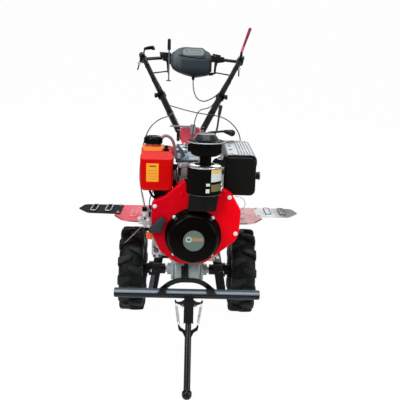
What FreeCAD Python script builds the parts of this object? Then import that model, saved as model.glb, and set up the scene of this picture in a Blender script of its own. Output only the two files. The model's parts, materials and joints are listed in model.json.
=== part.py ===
"""A power weeder: a two-wheeled walking tractor with a small air-cooled diesel engine.

The machine is modelled level, in millimetres, with the wheel axle through the origin: -Y is forward
(the engine end), +X is the machine's left side and +Z is up.  At the end every piece gets one common
Placement, which leans the machine back on its wheels and its front prop stand, as it is parked.
"""
import FreeCAD, Part
import Sketcher
import math
import os

V = FreeCAD.Vector
doc = FreeCAD.newDocument("PowerWeeder")

# ------------------------------------------------------------------ driving sizes, in millimetres
SIZES = {
    # wheels and axle
    "wheel_radius": 194,
    "tyre_width": 110,
    "track_half": 250,
    "bead_radius": 101.5,
    "rim_wall": 3,
    "rim_half_width": 42,
    "rim_drop": 14,
    "rim_lip": 9,
    "hub_flange_radius": 58,
    "hub_flange_wall": 8,
    "hub_sleeve_radius": 24,
    "hub_collar_radius": 33,
    "hub_inner_end": 102,
    "hub_collar_inner": 146,
    "hub_collar_outer": 178,
    "hex_across_flats": 30,
    "hex_fit_gap": 0.3,
    "journal_radius": 17,
    "journal_gap": 0.05,
    "boss_radius": 27,
    "boss_end": 92,
    "axle_case_radius": 62,
    "axle_case_half": 62,
    "axle_flange_radius": 50,
    "axle_flange_wall": 12,
    # gearbox
    "gearcase_half": 66,
    "gearcase_front": -46,
    "gearcase_back": 150,
    "gearcase_top": 430,
    "gearcase_rib": 7,
    # engine
    "crank_x": 18,
    "crank_z": 283,
    "clutch_radius": 112,
    "clutch_front": -118,
    "engine_front": -340,
    "engine_base": 162,
    "sump_half": 92,
    "crankcase_radius": 118,
    "head_x": 8,
    "head_y": -235,
    "cylinder_radius": 54,
    "fin_radius": 70,
    "fin_wall": 4,
    "fin_pitch": 11,
    "fin_count": 7,
    "fin_start": 398,
    "head_base": 474,
    "head_top": 548,
    "head_half_x": 64,
    "head_half_y": 78,
    "rocker_top": 612,
    "rocker_half_x": 46,
    "rocker_half_y": 62,
    # fan shroud and recoil starter
    "shroud_front": -388,
    "shroud_depth": 46,
    "shroud_gap": 1,
    "recoil_radius": 104.5,
    "recoil_front": -450,
    "recoil_wall": 3,
    "vent_count": 18,
    "lug_radius": 9,
    "lug_count": 4,
    # fuel tank
    "tank_right": -193,
    "tank_left": -66,
    "tank_base": 454,
    "tank_top": 606,
    "tank_front": -372,
    "tank_depth": 196,
    "tank_round": 20,
    "tank_slope": 28,
    "platform_height": 13,
    "cap_radius": 37,
    "neck_height": 24,
    "cap_height": 30,
    # air cleaner
    "cleaner_x": 57,
    "cleaner_y": -400,
    "cleaner_radius": 63,
    "cleaner_base": 457,
    "cleaner_top": 558,
    "cleaner_rim": 2,
    "bowl_base": 598,
    "bowl_top": 656,
    "bowl_radius": 59,
    "bowl_rim": 68,
    "bowl_cap_top": 688,
    "neck_radius": 22,
    # muffler
    "muffler_right": 133,
    "muffler_left": 259,
    "muffler_base": 436,
    "muffler_top": 590,
    "muffler_front": -338,
    "muffler_back": -10,
    "muffler_round": 22,
    "shield_wall": 2,
    "shield_gap": 6,
    "shield_skirt": 34,
    "shield_rise": 14,
    # front frame
    "bumper_y": -416,
    "bumper_z": 51,
    "bumper_radius": 19,
    "bumper_half": 288,
    "arch_half": 110,
    "arch_top": 116,
    "arch_band": 17,
    "arch_wall": 8,
    "rail_inner": 112,
    "rail_width": 36,
    "rail_wall": 6,
    "rail_splay": 11,
    "rail_back": -62,
    "bed_front": -300,
    "rail_hole_radius": 8,
    # prop stand
    "stand_x": 8,
    "stand_pivot_y": -430,
    "stand_pivot_z": 8,
    "stand_length": 336,
    "stand_lean": 31.5,
    "stand_foot_radius": 19,
    "stand_leg_radius": 13,
    "stand_channel_half": 19,
    "stand_channel_wall": 4,
    "stand_channel_length": 72,
    "stand_pin_radius": 6,
    "hook_half": 51,
    # fenders
    "fender_z": 268,
    "fender_wall": 3,
    "fender_inner": 158,
    "fender_joint": 330,
    "fender_tip": 505,
    # handlebar
    "seat_y": 205,
    "seat_radius": 52,
    "swivel_z": 540,
    "disc_radius": 36,
    "disc_half": 58,
    "disc_z": 606,
    "tube_radius": 13,
    "sleeve_radius": 16,
    "grip_x": 286,
    "grip_y": 865,
    "grip_z": 973,
    "grip_drop": 12,
    "hand_grip_length": 122,
    "hand_grip_radius": 17,
    "clamp_share": 0.43,
    "cross_radius": 9,
    "cross_share": 0.93,
    "cross_y": 812,
    "cross_z": 956,
    "bracket_end": 164,
    "stay_share": 0.72,
    "stay_end": 130,
    "stay_z": 884,
    "panel_half": 118,
    "panel_front": 762,
    "panel_back": 862,
    "panel_base": 852,
    "panel_top": 1016,
    "panel_slope": 57,
    "panel_slope_depth": 62,
    "shift_x": -127,
    "shift_y": 750,
    "hitch_pin_radius": 10,
    "cable_radius": 3,
    # running clearance between pieces that move past each other
    "running_gap": 1.5,
    "seat_gap": 0.3,
}


class Size:
    """A size that carries both its number and the spreadsheet expression that it comes from."""

    def __init__(self, value, text):
        self.value = float(value)
        self.text = text

    def joined(self, other, sign, value):
        return Size(value, f"({self.text} {sign} {as_size(other).text})")

    def __add__(self, other):
        return self.joined(other, "+", self.value + as_size(other).value)

    def __sub__(self, other):
        return self.joined(other, "-", self.value - as_size(other).value)

    def __mul__(self, other):
        return self.joined(other, "*", self.value * as_size(other).value)

    def __truediv__(self, other):
        return self.joined(other, "/", self.value / as_size(other).value)

    def __radd__(self, other):
        return as_size(other) + self

    def __rsub__(self, other):
        return as_size(other) - self

    def __rmul__(self, other):
        return as_size(other) * self

    def __neg__(self):
        return Size(-self.value, f"(-{self.text})")


def as_size(value):
    return value if isinstance(value, Size) else Size(value, repr(float(value)))


def sine(angle):
    return Size(math.sin(math.radians(angle.value)), f"sin({angle.text} * 1 deg)")


def cosine(angle):
    return Size(math.cos(math.radians(angle.value)), f"cos({angle.text} * 1 deg)")


class SizeSheet:
    """Puts the driving sizes into a spreadsheet and hands each one out as a Size."""

    def __init__(self, sizes):
        sheet = doc.addObject("Spreadsheet::Sheet", "Sizes")
        for row, (name, value) in enumerate(sizes.items(), start=1):
            sheet.set(f"A{row}", name)
            sheet.set(f"B{row}", str(value))
            sheet.setAlias(f"B{row}", name)
        doc.recompute()
        for name in sizes:
            setattr(self, name, Size(sheet.get(name), f"Sizes.{name}"))


S = SizeSheet(SIZES)
nodes = []


# ------------------------------------------------------------------ how the pieces are made
def new_body(label):
    body = doc.addObject("PartDesign::Body", label)
    body.Label = label
    nodes.append(body)
    return body


def sketch_on(body, plane, at=0, shift=(0, 0)):
    """A sketch on a plane of the body: "XY" at height at, "XZ" at y = at, or "YZ" at x = at."""
    sketch = body.newObject("Sketcher::SketchObject", f"{body.Name}_{plane}")
    origin_plane = [item for item in body.Origin.OriginFeatures if item.Role == f"{plane}_Plane"][0]
    sketch.AttachmentSupport = [(origin_plane, "")]
    sketch.MapMode = "FlatFace"
    distance = -as_size(at) if plane == "XZ" else as_size(at)
    for axis, size in zip("xyz", (as_size(shift[0]), as_size(shift[1]), distance)):
        sketch.setExpression(f"AttachmentOffset.Base.{axis}", size.text)
    return sketch


def bind(sketch, constraint, size):
    """Adds a constraint and ties its number to the spreadsheet."""
    index = sketch.addConstraint(constraint)
    if isinstance(size, Size) and "Sizes." in size.text:
        sketch.setExpression(f"Constraints[{index}]", size.text)


def pin_point(sketch, geometry, end, x, y):
    bind(sketch, Sketcher.Constraint("DistanceX", -1, 1, geometry, end, as_size(x).value), x)
    bind(sketch, Sketcher.Constraint("DistanceY", -1, 1, geometry, end, as_size(y).value), y)


def outline(sketch, corners):
    """A closed outline of straight edges; a corner's third value rounds it with a tangent arc."""
    points = [V(as_size(c[0]).value, as_size(c[1]).value, 0) for c in corners]
    rounds = [as_size(c[2]) if len(c) > 2 else None for c in corners]
    count = len(corners)
    cuts = []
    for i, point in enumerate(points):
        before = (points[i - 1] - point).normalize()
        after = (points[(i + 1) % count] - point).normalize()
        if rounds[i] is None:
            cuts.append((point, point, None, 0))
            continue
        half = before.getAngle(after) / 2
        reach = rounds[i].value / math.tan(half)
        centre = point + (before + after).normalize() * (rounds[i].value / math.sin(half))
        turn = before.cross(after).z
        cuts.append((point + before * reach, point + after * reach, centre, turn))
    lines = []
    for i in range(count):
        start, end = cuts[i][1], cuts[(i + 1) % count][0]
        lines.append(sketch.addGeometry(Part.LineSegment(start, end), False))
    for i, (arrive, leave, centre, turn) in enumerate(cuts):
        x, y = corners[i][:2]
        if centre is None:
            sketch.addConstraint(Sketcher.Constraint("Coincident", lines[i - 1], 2, lines[i], 1))
            pin_point(sketch, lines[i], 1, x, y)
            continue
        corner = sketch.addGeometry(Part.Point(points[i]), True)
        pin_point(sketch, corner, 1, x, y)
        angles = [math.atan2((p - centre).y, (p - centre).x) for p in (arrive, leave)]
        if turn > 0:
            angles.reverse()
        circle = Part.Circle(centre, V(0, 0, 1), rounds[i].value)
        arc = sketch.addGeometry(Part.ArcOfCircle(circle, angles[0], angles[1]), False)
        first, last = (2, 1) if turn > 0 else (1, 2)
        sketch.addConstraint(Sketcher.Constraint("Tangent", lines[i - 1], 2, arc, first))
        sketch.addConstraint(Sketcher.Constraint("Tangent", arc, last, lines[i], 1))
        sketch.addConstraint(Sketcher.Constraint("PointOnObject", corner, 1, lines[i - 1]))
        sketch.addConstraint(Sketcher.Constraint("PointOnObject", corner, 1, lines[i]))
        bind(sketch, Sketcher.Constraint("Radius", arc, rounds[i].value), rounds[i])


def circle(sketch, x, y, radius):
    centre = V(as_size(x).value, as_size(y).value, 0)
    index = sketch.addGeometry(Part.Circle(centre, V(0, 0, 1), as_size(radius).value), False)
    pin_point(sketch, index, 3, x, y)
    bind(sketch, Sketcher.Constraint("Radius", index, as_size(radius).value), radius)


def set_size(item, name, size):
    size = as_size(size)
    setattr(item, name, size.value)
    if "Sizes." in size.text:
        item.setExpression(name, size.text)


def pad(body, sketch, length, middle=False, back=False):
    """Pads along the plane's normal: +Z, +X, or -Y for a sketch on XZ."""
    item = body.newObject("PartDesign::Pad", f"{body.Name}_Pad")
    item.Profile = sketch
    set_size(item, "Length", length)
    item.Midplane = middle
    item.Reversed = back
    return item


def pocket(body, sketch, length, middle=False, back=False):
    """Cuts against the plane's normal: -Z, -X, or +Y for a sketch on XZ."""
    item = body.newObject("PartDesign::Pocket", f"{body.Name}_Pocket")
    item.Profile = sketch
    set_size(item, "Length", length)
    item.Midplane = middle
    item.Reversed = back
    return item


def revolve(body, sketch, axis, groove=False):
    kind = "PartDesign::Groove" if groove else "PartDesign::Revolution"
    item = body.newObject(kind, f"{body.Name}_Turned")
    item.Profile = sketch
    item.ReferenceAxis = (sketch, [axis])
    item.Angle = 360
    return item


def loft(body, sketches):
    """A solid between matching outlines."""
    item = body.newObject("PartDesign::AdditiveLoft", body.Label + "_Loft")
    item.Profile = sketches[0]
    item.Sections = sketches[1:]
    item.Ruled = True
    doc.recompute()
    return item


def mirror(body, features):
    """Repeats the features on the other side of the machine's middle plane."""
    item = body.newObject("PartDesign::Mirrored", f"{body.Name}_Mirrored")
    item.Originals = features
    plane = [part for part in body.Origin.OriginFeatures if part.Role == "YZ_Plane"][0]
    item.MirrorPlane = (plane, [""])
    body.Tip = item
    return item


def ring_of(body, feature, sketch, axis, count):
    item = body.newObject("PartDesign::PolarPattern", f"{body.Name}_Ring")
    item.Originals = [feature]
    item.Axis = (sketch, [axis])
    item.Angle = 360
    item.Occurrences = int(count.value)
    item.setExpression("Occurrences", count.text)
    body.Tip = item
    return item


def round_edges(body, radius, wanted):
    """Fillets every edge of the body's last feature that the test picks."""
    doc.recompute()
    base = body.Tip
    names = [f"Edge{i + 1}" for i, edge in enumerate(base.Shape.Edges) if wanted(edge)]
    item = body.newObject("PartDesign::Fillet", f"{body.Name}_Fillet")
    item.Base = (base, names)
    set_size(item, "Radius", radius)
    return item


def box_corners(x0, y0, x1, y1, radius=None):
    corners = [(x0, y0), (x1, y0), (x1, y1), (x0, y1)]
    return corners if radius is None else [corner + (radius,) for corner in corners]


def block(body, x, y, z, radius=None, plane="XZ"):
    """A prism between two x, two y and two z sizes, with rounded edges along the plane's normal."""
    if plane == "XZ":
        sketch = sketch_on(body, "XZ", y[1])
        outline(sketch, box_corners(x[0], z[0], x[1], z[1], radius))
        return pad(body, sketch, as_size(y[1]) - y[0])
    if plane == "XY":
        sketch = sketch_on(body, "XY", z[0])
        outline(sketch, box_corners(x[0], y[0], x[1], y[1], radius))
        return pad(body, sketch, as_size(z[1]) - z[0])
    sketch = sketch_on(body, "YZ", x[0])
    outline(sketch, box_corners(y[0], z[0], y[1], z[1], radius))
    return pad(body, sketch, as_size(x[1]) - x[0])


def point(*sizes):
    return V(*[as_size(size).value for size in sizes])


def bent_path(points, bend=None):
    """Straight runs joined by tangent arcs; with no bend radius the arcs are as large as fits."""
    edges = []
    start = points[0]
    for before, corner, after in zip(points, points[1:], points[2:]):
        inward = (before - corner)
        outward = (after - corner)
        shorter = min(inward.Length, outward.Length)
        inward.normalize()
        outward.normalize()
        half_turn = (math.pi - inward.getAngle(outward)) / 2
        radius = 0.45 * shorter / math.tan(half_turn) if bend is None else bend
        reach = radius * math.tan(half_turn)
        first = corner + inward * reach
        last = corner + outward * reach
        across = (inward + outward).normalize()
        middle = corner + across * (radius / math.cos(half_turn) - radius)
        edges.append(Part.LineSegment(start, first).toShape())
        edges.append(Part.Arc(first, middle, last).toShape())
        start = last
    edges.append(Part.LineSegment(start, points[-1]).toShape())
    return Part.Wire(edges)


def swept(points, radius, bend=None):
    """A round bar or cable along the path."""
    path = bent_path(points, bend)
    along = (points[1] - points[0]).normalize()
    ring = Part.Wire([Part.Circle(points[0], along, radius).toShape()])
    bar = path.makePipeShell([ring], True, False)
    wanted = math.pi * radius * radius * path.Length
    if abs(bar.Volume - wanted) > 0.01 * wanted:
        raise ValueError(f"bar from {points[0]} has volume {bar.Volume:.0f}, not {wanted:.0f}")
    return bar


def add_feature(label, shapes):
    item = doc.addObject("Part::Feature", label)
    item.Label = label
    item.Shape = shapes[0] if len(shapes) == 1 else Part.makeCompound(shapes)
    nodes.append(item)
    return item


def side_name(side):
    return "left" if side > 0 else "right"


# ------------------------------------------------------------------ wheels
def make_tyre(side):
    """The carcass of a 4.00-8 tractor tyre, out to the height of its lugs."""
    body = new_body(f"tyre_{side_name(side)}")
    half = S.tyre_width / 2
    middle = S.track_half * side
    sketch = sketch_on(body, "XZ")
    bead = S.rim_half_width - S.rim_wall - S.seat_gap
    lip = S.bead_radius + S.rim_lip + 2
    profile = [
        (-bead, S.bead_radius), (-bead, lip, 3), (-half * 0.95, lip + 14, 12),
        (-half, S.bead_radius + 62, 30), (-half * 0.94, S.wheel_radius - 12, 12),
        (-half * 0.6, S.wheel_radius, 30), (half * 0.6, S.wheel_radius, 30),
        (half * 0.94, S.wheel_radius - 12, 12), (half, S.bead_radius + 62, 30),
        (half * 0.95, lip + 14, 12), (bead, lip, 3), (bead, S.bead_radius),
    ]
    outline(sketch, [(middle + corner[0],) + corner[1:] for corner in profile])
    revolve(body, sketch, "H_Axis")


def make_rim(side):
    """A pressed steel rim: bead seats, a drop centre and a dished disc bolted to the hub."""
    body = new_body(f"rim_{side_name(side)}")
    wall = S.rim_wall
    seat = S.bead_radius - S.seat_gap
    half = S.rim_half_width
    drop = seat - S.rim_drop
    middle = S.track_half * side
    sketch = sketch_on(body, "XZ")
    well = half * 0.45
    profile = [
        (-half, seat + S.rim_lip), (-half, seat - wall), (-well - 8, seat - wall), (-well, drop - wall),
        (well, drop - wall), (well + 8, seat - wall), (half, seat - wall), (half, seat + S.rim_lip),
        (half - wall, seat + S.rim_lip), (half - wall, seat), (well + 6, seat), (well - 2, drop),
        (-well + 2, drop), (-well - 6, seat), (-half + wall, seat), (-half + wall, seat + S.rim_lip),
    ]
    outline(sketch, [(middle + corner[0],) + corner[1:] for corner in profile])
    revolve(body, sketch, "H_Axis")
    disc = sketch_on(body, "XZ")
    face = middle - 6 * side
    reach = drop - wall + 1
    dish = [
        (0, S.hub_sleeve_radius + 1), (wall * side, S.hub_sleeve_radius + 1),
        (wall * side, S.hub_flange_radius + 4), ((wall + 10) * side, S.hub_flange_radius + 14),
        ((wall + 10) * side, reach), (10 * side, reach), (10 * side, S.hub_flange_radius + 16),
        (0, S.hub_flange_radius + 6),
    ]
    outline(disc, [(face + corner[0], corner[1]) for corner in dish])
    revolve(body, disc, "H_Axis")


def make_hub(side):
    """The hub: a sleeve with a hexagonal bore over the axle stub, a collar and a bolting flange."""
    body = new_body(f"wheel_hub_{side_name(side)}")
    face = S.track_half - 6
    sleeve = S.hub_sleeve_radius
    sketch = sketch_on(body, "XZ")
    profile = [
        (S.hub_inner_end, 0), (face + 14, 0), (face + 14, sleeve - 1), (face, sleeve - 1),
        (face, S.hub_flange_radius), (face - S.hub_flange_wall, S.hub_flange_radius),
        (face - S.hub_flange_wall, sleeve + 6), (face - S.hub_flange_wall - 10, sleeve),
        (S.hub_collar_outer, sleeve), (S.hub_collar_outer, S.hub_collar_radius),
        (S.hub_collar_inner, S.hub_collar_radius), (S.hub_collar_inner, sleeve),
        (S.hub_inner_end, sleeve),
    ]
    outline(sketch, [(as_size(corner[0]) * side, corner[1]) for corner in profile])
    revolve(body, sketch, "H_Axis")
    bore = sketch_on(body, "YZ", S.hub_inner_end * side)
    hexagon(bore, S.hex_across_flats + S.hex_fit_gap * 2)
    pocket(body, bore, face - S.hub_inner_end - 20, back=side > 0)


def hexagon(sketch, across):
    flat = across / 2
    reach = across / math.sqrt(3)
    outline(sketch, [(reach, 0), (reach / 2, flat), (-reach / 2, flat), (-reach, 0),
                     (-reach / 2, -flat), (reach / 2, -flat)])


def make_stub(side):
    """The axle stub: a round journal in the gearbox boss, then a hexagon into the wheel hub."""
    body = new_body(f"axle_stub_{side_name(side)}")
    start = (S.boss_end + 4) * side
    sketch = sketch_on(body, "YZ", start)
    hexagon(sketch, S.hex_across_flats)
    pad(body, sketch, S.track_half - 6 - 24 - S.boss_end - 4, back=side < 0)
    journal = sketch_on(body, "YZ", start)
    circle(journal, 0, 0, S.journal_radius)
    pad(body, journal, S.boss_end + 4 - S.axle_case_half + 20, back=side > 0)


for side in (1, -1):
    make_tyre(side)
    make_rim(side)
    make_hub(side)
    make_stub(side)


# ------------------------------------------------------------------ gearbox and clutch housing
def make_gearbox():
    """The cast case: an axle case across the bottom and a tall gear case above it."""
    body = new_body("gearbox_housing")
    case = sketch_on(body, "XZ")
    half = S.axle_case_half
    ring = S.axle_flange_wall
    profile = [
        (-S.boss_end, 0), (S.boss_end, 0), (S.boss_end, S.boss_radius), (half + ring, S.boss_radius),
        (half + ring, S.axle_flange_radius), (half, S.axle_flange_radius, 4),
        (half, S.axle_case_radius, 10), (-half, S.axle_case_radius, 10),
        (-half, S.axle_flange_radius, 4), (-half - ring, S.axle_flange_radius),
        (-half - ring, S.boss_radius), (-S.boss_end, S.boss_radius),
    ]
    outline(case, profile)
    revolve(body, case, "H_Axis")
    side_view = [
        (S.gearcase_front + 4, 20), (S.gearcase_front, 150, 12), (S.gearcase_front, S.gearcase_top, 14),
        (S.gearcase_back, S.gearcase_top, 20), (S.gearcase_back, 112, 18), (96, 96, 30), (50, 10),
    ]
    tall = sketch_on(body, "YZ")
    outline(tall, side_view)
    pad(body, tall, S.gearcase_half * 2, middle=True)
    seam = sketch_on(body, "YZ")
    rib = S.gearcase_rib
    outline(seam, [
        (S.gearcase_front + 4, 20), (S.gearcase_front - 0.5, 150, 12),
        (S.gearcase_front - 0.5, S.gearcase_top + rib, 16),
        (S.gearcase_back + rib, S.gearcase_top + rib, 24), (S.gearcase_back + rib, 106, 22),
        (100, 90, 30), (58, 10),
    ])
    pad(body, seam, 16, middle=True)
    for side in (1, -1):
        hole = sketch_on(body, "YZ", S.boss_end * side)
        circle(hole, 0, 0, S.journal_radius + S.journal_gap)
        pocket(body, hole, S.boss_end - S.axle_case_half + 22, back=side < 0)


def make_clutch_housing():
    """The bell between the engine and the gearbox, round the crankshaft's line."""
    body = new_body("clutch_housing")
    sketch = sketch_on(body, "XY", S.crank_z, (S.crank_x, 0))
    radius = S.clutch_radius
    outline(sketch, [
        (0, S.clutch_front), (radius + 8, S.clutch_front), (radius + 8, S.clutch_front + 12),
        (radius, S.clutch_front + 16), (radius - 22, S.gearcase_front - 0.5),
        (0, S.gearcase_front - 0.5),
    ])
    revolve(body, sketch, "V_Axis")


make_gearbox()
make_clutch_housing()


# ------------------------------------------------------------------ engine
def make_engine():
    """The crankcase with its flat sump feet, one closed block at the engine's real size."""
    body = new_body("engine_block")
    x = S.crank_x
    case = sketch_on(body, "XZ", S.clutch_front)
    r = S.crankcase_radius
    outline(case, [
        (x - S.sump_half, S.engine_base), (x + S.sump_half, S.engine_base),
        (x + S.sump_half, S.engine_base + 14, 4), (x + r * 0.86, S.engine_base + 30, 20),
        (x + r, S.crank_z, 60), (x + r * 0.9, S.fin_start - 30, 30), (x + 66, S.fin_start - 8, 14),
        (x - 66, S.fin_start - 8, 14), (x - r * 0.9, S.fin_start - 30, 30), (x - r, S.crank_z, 60),
        (x - r * 0.86, S.engine_base + 30, 20), (x - S.sump_half, S.engine_base + 14, 4),
    ])
    pad(body, case, S.clutch_front - S.engine_front)
    # the injection pump and governor corner stands out low on the right
    block(body, (-147, x - r + 20), (-325, -215), (176, 236), 8)


def make_cylinder():
    """The cylinder barrel: a stack of thin cooling fins round the bore."""
    body = new_body("cylinder")
    sketch = sketch_on(body, "XZ", S.head_y, (S.head_x, 0))
    corners = [(0, S.fin_start - 7.5), (S.cylinder_radius, S.fin_start - 7.5)]
    for i in range(int(S.fin_count.value)):
        low = S.fin_start + S.fin_pitch * i
        corners.append((S.cylinder_radius, low))
        corners.append((S.fin_radius, low + 0.6))
        corners.append((S.fin_radius, low + S.fin_wall - 0.6))
        corners.append((S.cylinder_radius, low + S.fin_wall))
    corners += [(S.cylinder_radius, S.head_base - 0.3), (0, S.head_base - 0.3)]
    outline(sketch, corners)
    revolve(body, sketch, "V_Axis")


def make_head():
    """The cylinder head with its intake port on the left front and exhaust port on the left."""
    body = new_body("cylinder_head")
    x, y = S.head_x, S.head_y
    block(body, (x - S.head_half_x, x + S.head_half_x), (y - S.head_half_y, y + S.head_half_y),
          (S.head_base, S.head_base + 26), 14, plane="XY")
    block(body, (x - S.head_half_x + 10, x + S.head_half_x - 8), (y - S.head_half_y + 8, y + S.head_half_y - 8),
          (S.head_base + 26, S.head_top - 12), 12, plane="XY")
    block(body, (x - S.rocker_half_x - 12, x + S.rocker_half_x + 12),
          (y - S.rocker_half_y - 8, y + S.rocker_half_y + 8), (S.head_top - 12, S.head_top), 14, plane="XY")
    port = sketch_on(body, "YZ", x)
    circle(port, y + 18, S.head_base + 42, 20)
    pad(body, port, S.muffler_right - x - S.seat_gap)


def make_rocker_cover():
    body = new_body("rocker_cover")
    x, y = S.head_x, S.head_y
    a, b = S.rocker_half_x, S.rocker_half_y
    block(body, (x - a - 7, x + a + 7), (y - b - 6, y + b + 6), (S.head_top, S.head_top + 8), 12, plane="XY")
    dome = sketch_on(body, "XZ", y + b)
    outline(dome, [(x - a, S.head_top + 8), (x + a, S.head_top + 8), (x + a - 10, S.rocker_top, 14),
                   (x - a + 10, S.rocker_top, 14)])
    pad(body, dome, b * 2)


make_engine()
make_cylinder()
make_head()
make_rocker_cover()


# ------------------------------------------------------------------ fan shroud and recoil starter
def make_shroud():
    """The pressed steel fan shroud: a pear-shaped cover with a rounded front edge."""
    body = new_body("fan_shroud")
    x, z = S.crank_x, S.crank_z
    sketch = sketch_on(body, "XZ", S.shroud_front + S.shroud_depth)
    notch_left, notch_right = S.cleaner_x - S.cleaner_radius - 5, S.cleaner_x + S.cleaner_radius + 5
    notch_floor = S.cleaner_base - 5
    outline(sketch, [
        (x - 60, z - 117, 60), (x + 45, z - 117, 60), (x + 178, z - 10, 70), (x + 184, z + 104, 40),
        (x + 147, z + 166, 24), (notch_right + 13, z + 184, 8), (notch_right, z + 184, 6),
        (notch_right, notch_floor, 6), (notch_left, notch_floor, 6), (notch_left, z + 216, 6),
        (notch_left - 15, z + 216, 9), (x - 118, z + 150, 40), (x - 165, z + 132, 26),
        (x - 163, z + 5, 50), (x - 128, z - 70, 60),
    ])
    pad(body, sketch, S.shroud_depth)
    round_edges(body, 5, lambda edge: edge.BoundBox.YMax < S.shroud_front.value + 0.1)


def make_recoil():
    """The recoil starter's cover: a dished pressing on a flange, with a ring of vents in its side."""
    body = new_body("recoil_cover")
    sketch = sketch_on(body, "XY", S.crank_z, (S.crank_x, 0))
    radius = S.recoil_radius
    front = S.recoil_front
    back = S.shroud_front - S.seat_gap
    wall = S.recoil_wall
    outline(sketch, [
        (0, front), (radius * 0.5, front + 1.5, 300), (radius - 15, front + 6, 14), (radius - 5, front + 20, 8),
        (radius - 4, back - 4, 5), (radius + 6, back - 4, 1.5), (radius + 6, back), (radius - 5 - wall, back),
        (radius - 6 - wall, front + 20 + wall, 8), (radius - 17, front + 6 + wall, 12),
        (radius * 0.5, front + 1.5 + wall, 297), (0, front + wall),
    ])
    revolve(body, sketch, "V_Axis")
    vent = sketch_on(body, "XZ", back - 10, (S.crank_x, S.crank_z))
    outline(vent, box_corners(radius - 22, -5, radius + 2, 5))
    slot = pocket(body, vent, 16, middle=True)
    ring_of(body, slot, vent, "N_Axis", S.vent_count)
    ears = sketch_on(body, "XZ", back, (S.crank_x, S.crank_z))
    lug_place = (radius + 2) * 0.7071
    circle(ears, lug_place, lug_place, S.lug_radius)
    lug = pad(body, ears, 4)
    ring_of(body, lug, ears, "N_Axis", S.lug_count)


def make_starter_grip():
    """The starter's rubber T-grip, which hangs from the cover's rope guide."""
    body = new_body("starter_grip")
    sketch = sketch_on(body, "XZ", S.shroud_front - 8)
    outline(sketch, [(-152, 304, 8), (-121, 297, 9), (-114, 326, 8), (-89, 341, 8), (-99, 365, 8),
                     (-143, 343, 10)])
    pad(body, sketch, 26)
    guide = sketch_on(body, "XZ", S.shroud_front - S.seat_gap)
    circle(guide, -112, 342, 9)
    pad(body, guide, 8)


make_shroud()
make_recoil()
make_starter_grip()


# ------------------------------------------------------------------ fuel tank
def make_tank():
    """A box tank with a sloping front shoulder and a raised platform under its filler neck."""
    body = new_body("fuel_tank")
    back = S.tank_front + S.tank_depth
    block(body, (S.tank_right, S.tank_left), (S.tank_front, back), (S.tank_base, S.tank_top), S.tank_round)
    round_edges(body, 12, lambda edge: edge.BoundBox.YLength < 0.1)
    slope = sketch_on(body, "YZ", (S.tank_right + S.tank_left) / 2)
    reach = S.tank_front + S.tank_slope
    outline(slope, [(S.tank_front - 1, S.tank_top - S.tank_slope - 1), (reach, S.tank_top + 1),
                    (S.tank_front - 1, S.tank_top + 1)])
    pocket(body, slope, S.tank_left - S.tank_right + 4, middle=True)
    block(body, (S.tank_right + 4, S.tank_right + 88), (reach - 2, reach + 92),
          (S.tank_top - 3, S.tank_top + S.platform_height), 9)
    neck = sketch_on(body, "XY", S.tank_top - 2)
    circle(neck, S.tank_right + 46, S.tank_front + 74, S.cap_radius - 8)
    pad(body, neck, S.neck_height + 2)


def make_cap():
    body = new_body("fuel_cap")
    base = S.tank_top + S.neck_height
    sketch = sketch_on(body, "XZ", S.tank_front + 74, (S.tank_right + 46, 0))
    radius = S.cap_radius
    outline(sketch, [(0, base), (radius - 2, base), (radius, base + 4), (radius - 1, base + S.cap_height - 6, 5),
                     (radius - 10, base + S.cap_height, 5), (0, base + S.cap_height)])
    revolve(body, sketch, "V_Axis")


def shoulder(share):
    """A point just off the crankcase's sloping right shoulder, from its outer to its inner corner."""
    reach = S.crankcase_radius * 0.9
    x = S.crank_x - reach + (reach - 66) * share - S.seat_gap
    return x, S.fin_start - 30 + 22 * share + S.seat_gap


def make_tank_bracket():
    """A folded steel saddle that carries the tank on the crankcase's shoulder."""
    body = new_body("tank_bracket")
    top = S.tank_base - S.seat_gap
    block(body, (S.tank_right + 40, S.tank_left - 6), (-318, -212), (top - 5, top), 6, plane="XY")
    sketch = sketch_on(body, "XZ", -282)
    low, high = shoulder(0.45), shoulder(0.8)
    outline(sketch, [(-118, top - 5), (-84, top - 5), high, low])
    pad(body, sketch, 36)


make_tank()
make_cap()
make_tank_bracket()


# ------------------------------------------------------------------ air cleaner
def make_cleaner():
    body = new_body("air_cleaner")
    sketch = sketch_on(body, "XZ", S.cleaner_y, (S.cleaner_x, 0))
    r = S.cleaner_radius
    top = S.cleaner_top
    outline(sketch, [
        (0, S.cleaner_base), (r - 2, S.cleaner_base, 3), (r - 1, top - 12), (r + S.cleaner_rim, top - 9, 2),
        (r + S.cleaner_rim, top - 2, 1.5), (r - 8, top + 2), (S.neck_radius + 8, top + 5, 4),
        (S.neck_radius, top + 14),
        (S.neck_radius, S.bowl_base + 4), (0, S.bowl_base + 4),
    ])
    revolve(body, sketch, "V_Axis")
    pipe = sketch_on(body, "XZ", S.head_y - S.head_half_y + 8 - S.seat_gap)
    circle(pipe, S.cleaner_x - 12, S.head_base + 44, 16)
    pad(body, pipe, S.head_y - S.head_half_y + 8 - S.seat_gap - S.cleaner_y)


def make_bowl():
    """The pre-cleaner bowl with its wide rim and ribbed cap."""
    body = new_body("air_cleaner_bowl")
    sketch = sketch_on(body, "XZ", S.cleaner_y, (S.cleaner_x, 0))
    r = S.bowl_radius
    outline(sketch, [
        (0, S.bowl_base + 4.3), (S.neck_radius + 1, S.bowl_base + 4.3), (r - 16, S.bowl_base + 4.3, 6),
        (r - 1, S.bowl_base + 16, 8), (r, S.bowl_top - 3), (S.bowl_rim, S.bowl_top - 1, 1.5),
        (S.bowl_rim, S.bowl_top + 4, 1.5), (r - 5, S.bowl_top + 8, 5), (r - 26, S.bowl_cap_top - 5, 9),
        (0, S.bowl_cap_top),
    ])
    revolve(body, sketch, "V_Axis")


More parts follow.
